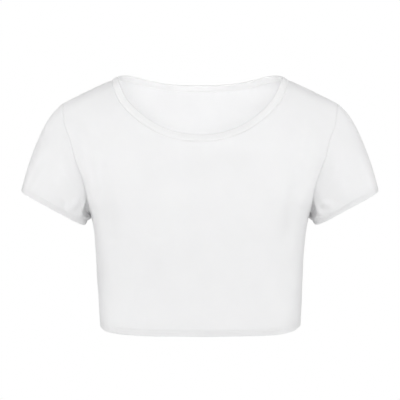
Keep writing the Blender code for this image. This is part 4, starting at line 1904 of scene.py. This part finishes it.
@dataclass
class CropTop:
    """The whole garment: two panels, two sleeves, the binding and the hems' stitches."""

    jersey: JerseyFinish = JerseyFinish()
    # Painted light: the binding is the jersey made lighter, standing in for the light its upturned face
    # catches
    binding: JerseyFinish = JerseyFinish(
        name="white_binding",
        light=(0.955, 0.955, 0.957, 1.0),
        dark=(0.915, 0.915, 0.918, 1.0),
        relief=0.00008,
        soaked=0.35,
    )
    thread: ThreadFinish = ThreadFinish()

    def panels(self) -> tuple[Panel, Panel]:
        """The front and the back on their shared form."""
        form = TorsoForm()
        front = Panel(
            side=Side.FRONT,
            form=form,
            cut=FRONT_CUT,
            neck_drop=0.0953,
            scoop=(2.0, 2.5),
            folds=FRONT_FOLDS,
            creases=FRONT_CREASES,
        )
        back = Panel(
            side=Side.BACK,
            form=form,
            cut=BACK_CUT,
            neck_drop=0.0287,
            scoop=(2.4, 1.9),
            folds=BACK_FOLDS,
            creases=BACK_CREASES,
        )
        return front, back

    def make(self) -> None:
        """Builds and dresses every piece, and reports each."""
        front, back = self.panels()
        both = {"front": front, "back": back}
        sleeves = [
            Sleeve(hand=hand, **both, cut=SLEEVE_CUT, creases=creases, tucks=tucks)
            for hand, creases, tucks in (
                (Hand.LEFT, LEFT_SLEEVE_CREASES, LEFT_TUCKS),
                (Hand.RIGHT, RIGHT_SLEEVE_CREASES, RIGHT_TUCKS),
            )
        ]
        band = Neckband(**both, cut=BAND_CUT)
        parts: list[Piece] = [front, back, *sleeves, band]
        shared = shared_normals([part.surface for part in parts], [part.normals for part in parts])
        for part, normals in zip(parts, shared):
            part.lay(normals)
        cloth = [part.make() for part in parts]
        jersey = (self.jersey.material(), "jersey")
        binding = (self.binding.material(), "binding")
        for part, piece in zip(parts, cloth):
            self.dress(piece, *(binding if part is band else jersey))
            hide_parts(part.name)
        for part, piece in zip(parts, cloth):
            holders = [] if isinstance(part, Panel) else cloth[:2]
        thread = self.thread.material()
        for stitches in self.stitches(front, back, sleeves):
            self.dress(stitches, thread, "thread")

    def dress(self, piece: Object, material: bpy.types.Material, slot: str) -> None:
        """Gives a piece its material and fixes it to the one body.

        Args:
            piece: the piece.
            material: its material.
            slot: the record's slot, not used.
        """
        piece.data.materials.append(material)
        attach(piece, "root")
        log.info("%s: %d faces, %s", piece.name, len(piece.data.polygons), material.name)

    def stitches(self, front: Panel, back: Panel, sleeves: list[Sleeve]) -> list[Object]:
        """The hems' stitches.

        Args:
            front, back, sleeves: the pieces that have hems.

        Returns:
            An object for the body's hem and one for each sleeve's.
        """
        body = StitchRows("hem_stitches")
        for panel in (front, back):
            self.sew_hem(body, panel, panel.outer, panel.shared, False)
        made = [body.make()]
        for sleeve in sleeves:
            rows = StitchRows(f"{sleeve.name}_stitches")
            self.sew_hem(rows, sleeve, sleeve.outer[:, ::-1], sleeve.shared[:, ::-1], True)
            made.append(rows.make())
        return made

    def sew_hem(
        self, stitches: StitchRows, part: Panel | Sleeve, outer: Array, normals: Array, closed: bool
    ) -> None:
        """Sews both needle rows outside a hem and the looped thread inside it.

        Args:
            stitches: the rows to add to.
            part: the panel or sleeve.
            outer: middle of its outer layer, rows from the fold up.
            normals: the way out.
            closed: whether the hem closes into a ring.
        """
        hem, cloth = part.hem, part.cloth
        low, high = (int(np.searchsorted(part.heights, needle)) for needle in hem.needles)
        for row in (low, high):
            stitches.sew(outer[:, row], normals[:, row], -cloth.thickness / 2, closed)
        inside = 2 * hem.fold + cloth.thickness / 2
        stitches.loop(outer[:, low], outer[:, high], normals[:, low], inside, closed)


# ==== Studio ====


@dataclass(frozen=True)
class Lamp:
    """A flat soft light, which the camera doesn't see.

    Args:
        name: its name.
        place: its middle.
        aim: the point that it faces.
        width, height: its sides.
        power: in watts.
    """

    name: str
    place: Place
    aim: Place
    width: float
    height: float
    power: float

    def light(self) -> None:
        """Adds the light to the scene."""
        data = bpy.data.lights.new(self.name, "AREA")
        data.shape = "RECTANGLE"
        data.size = self.width
        data.size_y = self.height
        data.energy = self.power
        lamp = bpy.data.objects.new(self.name, data)
        lamp.visible_camera = False
        lamp.location = self.place
        towards = Vector(self.aim) - Vector(self.place)
        lamp.rotation_euler = towards.to_track_quat("-Z", "Y").to_euler()
        bpy.context.scene.collection.objects.link(lamp)


CHEST = (0.0, 0.0, -0.189)
NAPE = (0.0, 0.080, -0.065)


@dataclass
class Studio:
    """Camera, soft lights, pale floor and white surroundings.

    Args:
        distance: from the camera to the point that it looks at.
        elevation: of the camera, in radians.
        lens, sensor: focal length and sensor width in millimetres.
        nearest: distance from the camera at which things begin to show.
        floor_height, floor_half: height and half side of the floor.
        floor_tone, floor_matt: grey and roughness of the floor as it lights the garment.
        ambient: strength of the surroundings as a light.
    """

    distance: float = 2.2
    elevation: float = radians(6.0)
    lens: float = 132.0
    sensor: float = 36.0
    nearest: float = 0.05
    floor_height: float = -1.15
    floor_half: float = 6.0
    floor_tone: float = 0.4
    floor_matt: float = 0.9
    ambient: float = 0.23
    lamps: tuple[Lamp, ...] = (
        Lamp("front_light", (0.0, -3.15, 0.50), CHEST, 2.0, 2.0, 35.5),
        Lamp("low_left_light", (2.0, -2.5, -0.5), CHEST, 1.6, 1.1, 16.5),
        Lamp("low_right_light", (-2.0, -2.5, -0.5), CHEST, 1.6, 1.1, 16.5),
        Lamp("back_light", (0.0, 3.15, 0.62), CHEST, 2.0, 2.0, 74.0),
        Lamp("left_light", (3.0, 0.0, 0.2), CHEST, 2.4, 2.4, 10.0),
        Lamp("right_light", (-3.0, 0.0, 0.2), CHEST, 2.4, 2.4, 10.0),
        Lamp("left_under_light", (2.8, -0.9, -0.75), CHEST, 1.6, 1.2, 21.5),
        Lamp("right_under_light", (-2.8, -0.9, -0.75), CHEST, 1.6, 1.2, 21.5),
        Lamp("top_light", (0.0, -0.6, 2.4), CHEST, 2.0, 2.0, 19.0),
        Lamp("inside_light", (0.0, -0.065, -0.165), NAPE, 0.22, 0.05, 0.150),
    )

    def set_up(self) -> None:
        """Makes the camera, the lights, the surroundings and the floor."""
        self.camera()
        for lamp in self.lamps:
            lamp.light()
        self.surroundings()
        self.floor()
        bpy.context.scene.view_settings.view_transform = "Standard"

    def camera(self) -> None:
        """Makes the camera, which looks at the middle of the body from in front."""
        data = bpy.data.cameras.new("camera")
        data.lens = self.lens
        data.sensor_width = self.sensor
        data.clip_start = self.nearest
        camera = bpy.data.objects.new("camera", data)
        back = Vector((0.0, -cos(self.elevation), sin(self.elevation)))
        camera.location = Vector(CHEST) + back * self.distance
        camera.rotation_euler = (-back).to_track_quat("-Z", "Y").to_euler()
        bpy.context.scene.collection.objects.link(camera)
        bpy.context.scene.camera = camera

    def surroundings(self) -> None:
        """White all round: full white where it is seen, and softer as a light."""
        world = bpy.data.worlds.new("surroundings")
        bpy.context.scene.world = world
        world.use_nodes = True
        nodes = Nodes(world.node_tree)
        background = world.node_tree.nodes["Background"]
        background.inputs["Color"].default_value = (1.0, 1.0, 1.0, 1.0)
        seen = nodes.add("ShaderNodeLightPath").outputs["Is Camera Ray"]
        nodes.feed(background.inputs["Strength"], nodes.math("MAXIMUM", seen, self.ambient))

    def floor(self) -> None:
        """A plain floor, evenly white where it is seen and grey as a light."""
        half, height = self.floor_half, self.floor_height
        corner = np.array([[-1.0, -1.0], [1.0, -1.0], [1.0, 1.0], [-1.0, 1.0]])
        points = np.column_stack([corner * half, np.full(4, height)])
        uv = corner[None] * half
        floor = quad_mesh("floor", points, np.arange(4)[None], uv)
        material = bpy.data.materials.new("pale_floor")
        material.use_nodes = True
        nodes = Nodes(material.node_tree)
        shader = material.node_tree.nodes["Principled BSDF"]
        shader.inputs["Base Color"].default_value = (*[self.floor_tone] * 3, 1.0)
        shader.inputs["Roughness"].default_value = self.floor_matt
        glow = nodes.add("ShaderNodeEmission")
        mix = nodes.add("ShaderNodeMixShader")
        nodes.feed(mix.inputs[0], nodes.add("ShaderNodeLightPath").outputs["Is Camera Ray"])
        nodes.feed(mix.inputs[1], shader.outputs[0])
        nodes.feed(mix.inputs[2], glow.outputs[0])
        nodes.feed(material.node_tree.nodes["Material Output"].inputs["Surface"], mix.outputs[0])
        floor.data.materials.append(material)


def main() -> None:
    """Builds the garment and the studio in order."""
    logging.basicConfig(level=logging.INFO, format="%(name)s: %(message)s")
    CropTop().make()
    Studio().set_up()


if __name__ == "__main__":
    main()
